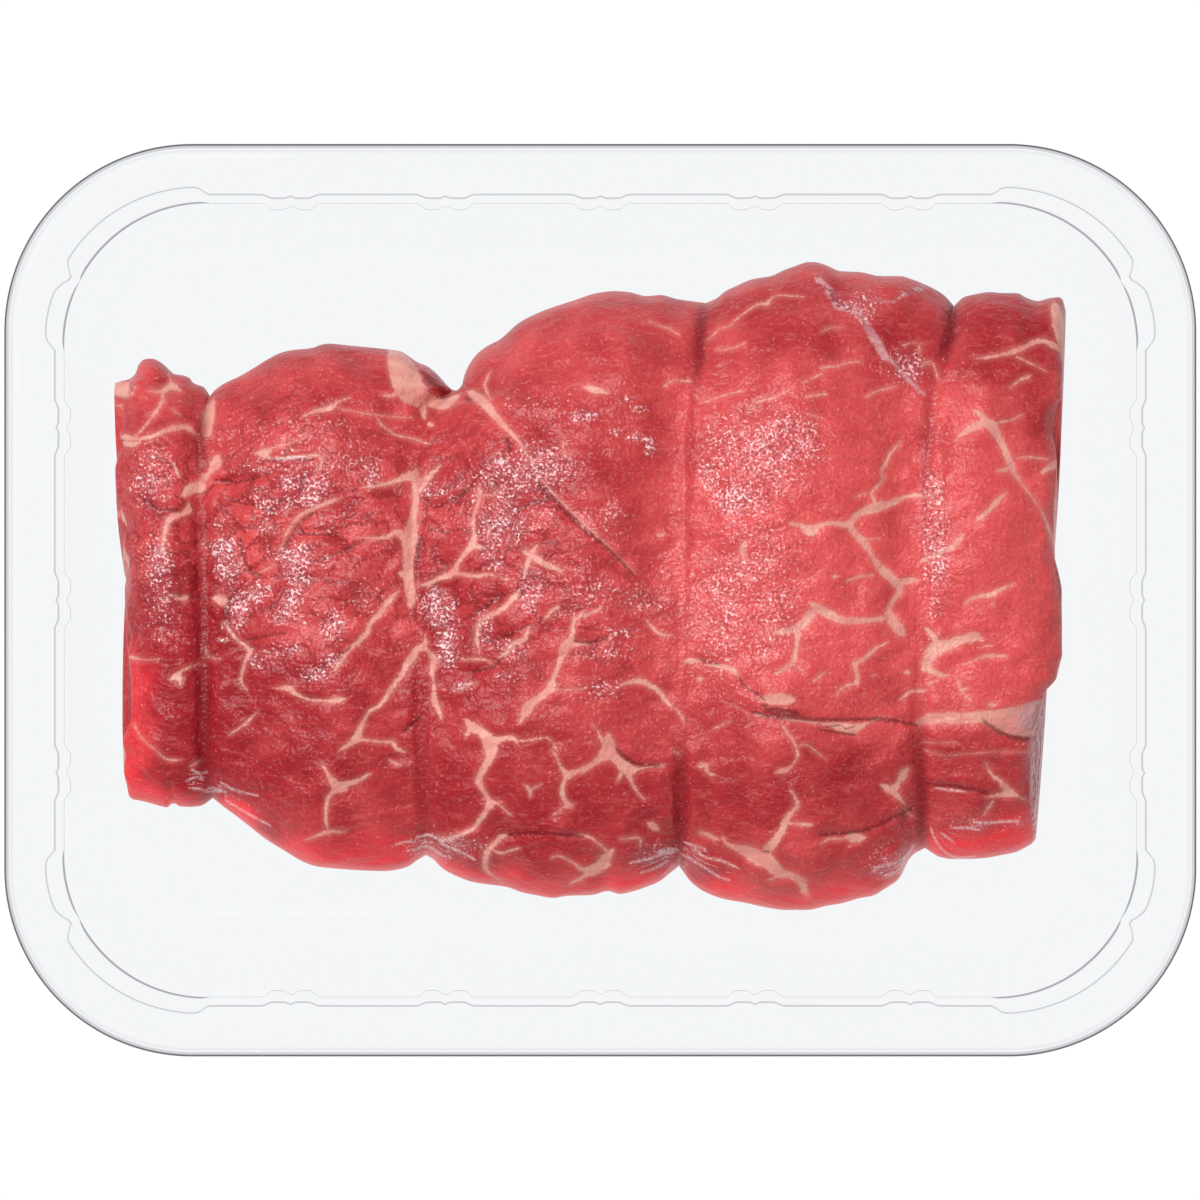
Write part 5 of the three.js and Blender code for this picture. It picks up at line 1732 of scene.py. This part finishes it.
class JointSettings(bpy.types.PropertyGroup):
    """Sizes and looks of the beef joint"""

    relief: amount("Relief", "How strong the dips and swellings of the surface are", 1.0, most=2)
    bump: length("Fine relief", "Height of the finest fibres and wet grains", 0.0006)
    scatter: amount("Scatter", "How much light spreads under the surface", 0.35)
    scatter_depth: length("Scatter depth", "How far red light spreads under the surface", 0.003)
    shine_through: amount("Shine through", "How much light from below comes through the lower rim", 0.14)
    # Painted highlights on the wet grains: how pale they are
    painted_glint_strength: amount("Grain paleness", "How pale the wet grains are where they glint", 0.85)
    lean_deep_code: colour_code("Deep lean", "Colour of the darkest lean", "#A61E29")
    lean_light_code: colour_code("Light lean", "Colour of the lightest lean", "#E05556")
    fibre_code: colour_code("Fibre", "Colour of pale fibres in the lean", "#F08C86")
    # Painted shade in grooves, folds and the gaps between wet grains, and the dark pores
    shade_and_pore_code: colour_code("Groove", "Colour of the string grooves", "#86141D")
    # Painted shade in the deepest creases
    crease_shade_code: colour_code("Crease", "Colour of the deepest creases", "#5E0E16")
    # Painted light through the lower rim and at its very edge
    glow_code: colour_code("Lower rim", "Colour where light shines through the lower rim", "#FF3841")
    rim_light_code: colour_code("Rim edge", "Colour of the very edge of the lower rim", "#FF564C")
    fat_code: colour_code("Fat", "Colour of the fat", "#E9A798")
    fat_pink_code: colour_code("Pink fat", "Colour of the fat where blood shows", "#E0938A")
    silverskin_code: colour_code("Silverskin", "Colour of the silverskin", "#DAA5A7")
    silverskin_dark_code: colour_code("Silverskin, dark", "Colour between its streaks", "#A84C58")
    # Painted highlight on wet grains and wrinkles, and the painted sheen between the grains
    painted_highlight_code: colour_code("Wet grain", "Colour of wet grains and wrinkles", "#FBDADB")
    painted_sheen_code: colour_code("Wet haze", "Colour of the faint sheen between wet grains", "#D98A90")


class StageSettings(bpy.types.PropertyGroup):
    """Floor, light and camera"""

    camera_height: length("Camera height", "How high the camera stands over the base", CAMERA_HEIGHT * MM)
    world: brightness("Surrounding light", "Strength of the even light from all round", 0.33)
    floor_glow: brightness("Floor glow", "How bright the floor is by itself", 1.01)
    key_size: length("Softbox size", "Side of the square softbox", 0.6)
    key_distance: length("Softbox distance", "From the object to the softbox", 1.2)
    key_brightness: brightness("Softbox brightness", "How bright the softbox's face is", 11.5)
    key_way: bpy.props.FloatVectorProperty(
        name="Softbox direction",
        description="Which way the softbox stands from the object",
        default=(-0.35, 0.25, 1.0),
        subtype="DIRECTION",
    )


def make_floor(settings):
    """A wide floor, a little under the base."""
    # White acrylic over a light box: it glows evenly, so it stays white and takes no shadow
    corners = np.array([[-1, -1, 0], [1, -1, 0], [1, 1, 0], [-1, 1, 0]]) * FLOOR_HALF
    floor = mesh_object("floor", corners - [0, 0, FLOOR_GAP], [[0, 1, 2, 3]], {})
    material, tree = new_material("Light box acrylic")
    glow = add(tree, "Emission", {"Color": "#FFFFFF", "Strength": settings.floor_glow})
    add(tree, "OutputMaterial", [glow])
    material.cycles.emission_sampling = "NONE"
    floor.data.materials.append(material)
    return floor


def even_light(settings):
    """The same white light from all round."""
    world = bpy.data.worlds.new("Even light")
    world.use_nodes = True
    background = world.node_tree.nodes["Background"]
    background.inputs["Color"].default_value = (1, 1, 1, 1)
    background.inputs["Strength"].default_value = settings.world
    world.cycles.sampling_method = "NONE"
    return world


def make_softbox(settings):
    """A square lamp above, to the back left, that faces the object."""
    key = bpy.data.lights.new("softbox", "AREA")
    key.shape = "SQUARE"
    key.size = settings.key_size
    key.energy = settings.key_brightness * math.pi * settings.key_size**2
    lamp = bpy.data.objects.new("softbox", key)
    way = settings.key_way.normalized()
    lamp.location = way * settings.key_distance
    lamp.rotation_mode = "QUATERNION"
    lamp.rotation_quaternion = (-way).to_track_quat("-Z", "Y")
    lamp.visible_camera = False
    return lamp


def make_camera(settings):
    """The photo's camera: straight down, with its middle pixel over the tray's middle."""
    eye = bpy.data.cameras.new("camera")
    eye.sensor_width = SENSOR
    eye.lens = SENSOR * (CAMERA_HEIGHT - RIM_HEIGHT) / (RIM_SCALE * PHOTO_SIZE)
    eye.shift_x = (PHOTO_SIZE / 2 - PHOTO_MIDDLE_X) / PHOTO_SIZE
    eye.shift_y = (PHOTO_MIDDLE_Y - PHOTO_SIZE / 2) / PHOTO_SIZE
    camera = bpy.data.objects.new("camera", eye)
    camera.location = (0, 0, settings.camera_height)
    return camera


class MEATTRAY_OT_tray(bpy.types.Operator):
    """Make the clear tray"""

    bl_idname = "meattray.tray"
    bl_label = "Make tray"

    def execute(self, context):
        settings = context.scene.meattray_tray
        tray = make_tray_mesh(settings)
        press_ribs(tray, settings, clear_sheet_material(settings))
        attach(tray, "root")
        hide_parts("tray")
        return {"FINISHED"}


class MEATTRAY_OT_joint(bpy.types.Operator):
    """Make the beef joint"""

    bl_idname = "meattray.joint"
    bl_label = "Make beef joint"

    def execute(self, context):
        settings = context.scene.meattray_joint
        joint = make_joint_mesh(settings)
        joint.data.materials.append(beef_material(settings))
        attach(joint, "root")
        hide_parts("beef_joint")
        return {"FINISHED"}


class MEATTRAY_OT_stage(bpy.types.Operator):
    """Make the floor, the light and the camera"""

    bl_idname = "meattray.stage"
    bl_label = "Make stage"

    def execute(self, context):
        settings = context.scene.meattray_stage
        make_floor(settings)
        context.scene.world = even_light(settings)
        camera = make_camera(settings)
        for thing in (make_softbox(settings), camera):
            context.scene.collection.objects.link(thing)
        context.scene.camera = camera
        context.scene.view_settings.view_transform = "Standard"
        return {"FINISHED"}


class MEATTRAY_PT_panel(bpy.types.Panel):
    """Sizes, colours and the makers of each piece"""

    bl_idname = "MEATTRAY_PT_panel"
    bl_label = "Meat tray"
    bl_space_type = "VIEW_3D"
    bl_region_type = "UI"
    bl_category = "Meat tray"

    def draw(self, context):
        for operator, group in (
            (MEATTRAY_OT_tray, context.scene.meattray_tray),
            (MEATTRAY_OT_joint, context.scene.meattray_joint),
            (MEATTRAY_OT_stage, context.scene.meattray_stage),
        ):
            box = self.layout.box()
            for name in group.__annotations__:
                box.prop(group, name)
            box.operator(operator.bl_idname)


GROUPS = {
    "meattray_tray": TraySettings,
    "meattray_joint": JointSettings,
    "meattray_stage": StageSettings,
}
CLASSES = (
    *GROUPS.values(),
    MEATTRAY_OT_tray,
    MEATTRAY_OT_joint,
    MEATTRAY_OT_stage,
    MEATTRAY_PT_panel,
)


def register():
    for made in CLASSES:
        bpy.utils.register_class(made)
    for name, group in GROUPS.items():
        setattr(bpy.types.Scene, name, bpy.props.PointerProperty(type=group))


def unregister():
    for name in GROUPS:
        delattr(bpy.types.Scene, name)
    for made in reversed(CLASSES):
        bpy.utils.unregister_class(made)


def main():
    register()
    bpy.ops.meattray.stage()
    bpy.ops.meattray.tray()
    bpy.ops.meattray.joint()


if __name__ == "__main__":
    main()
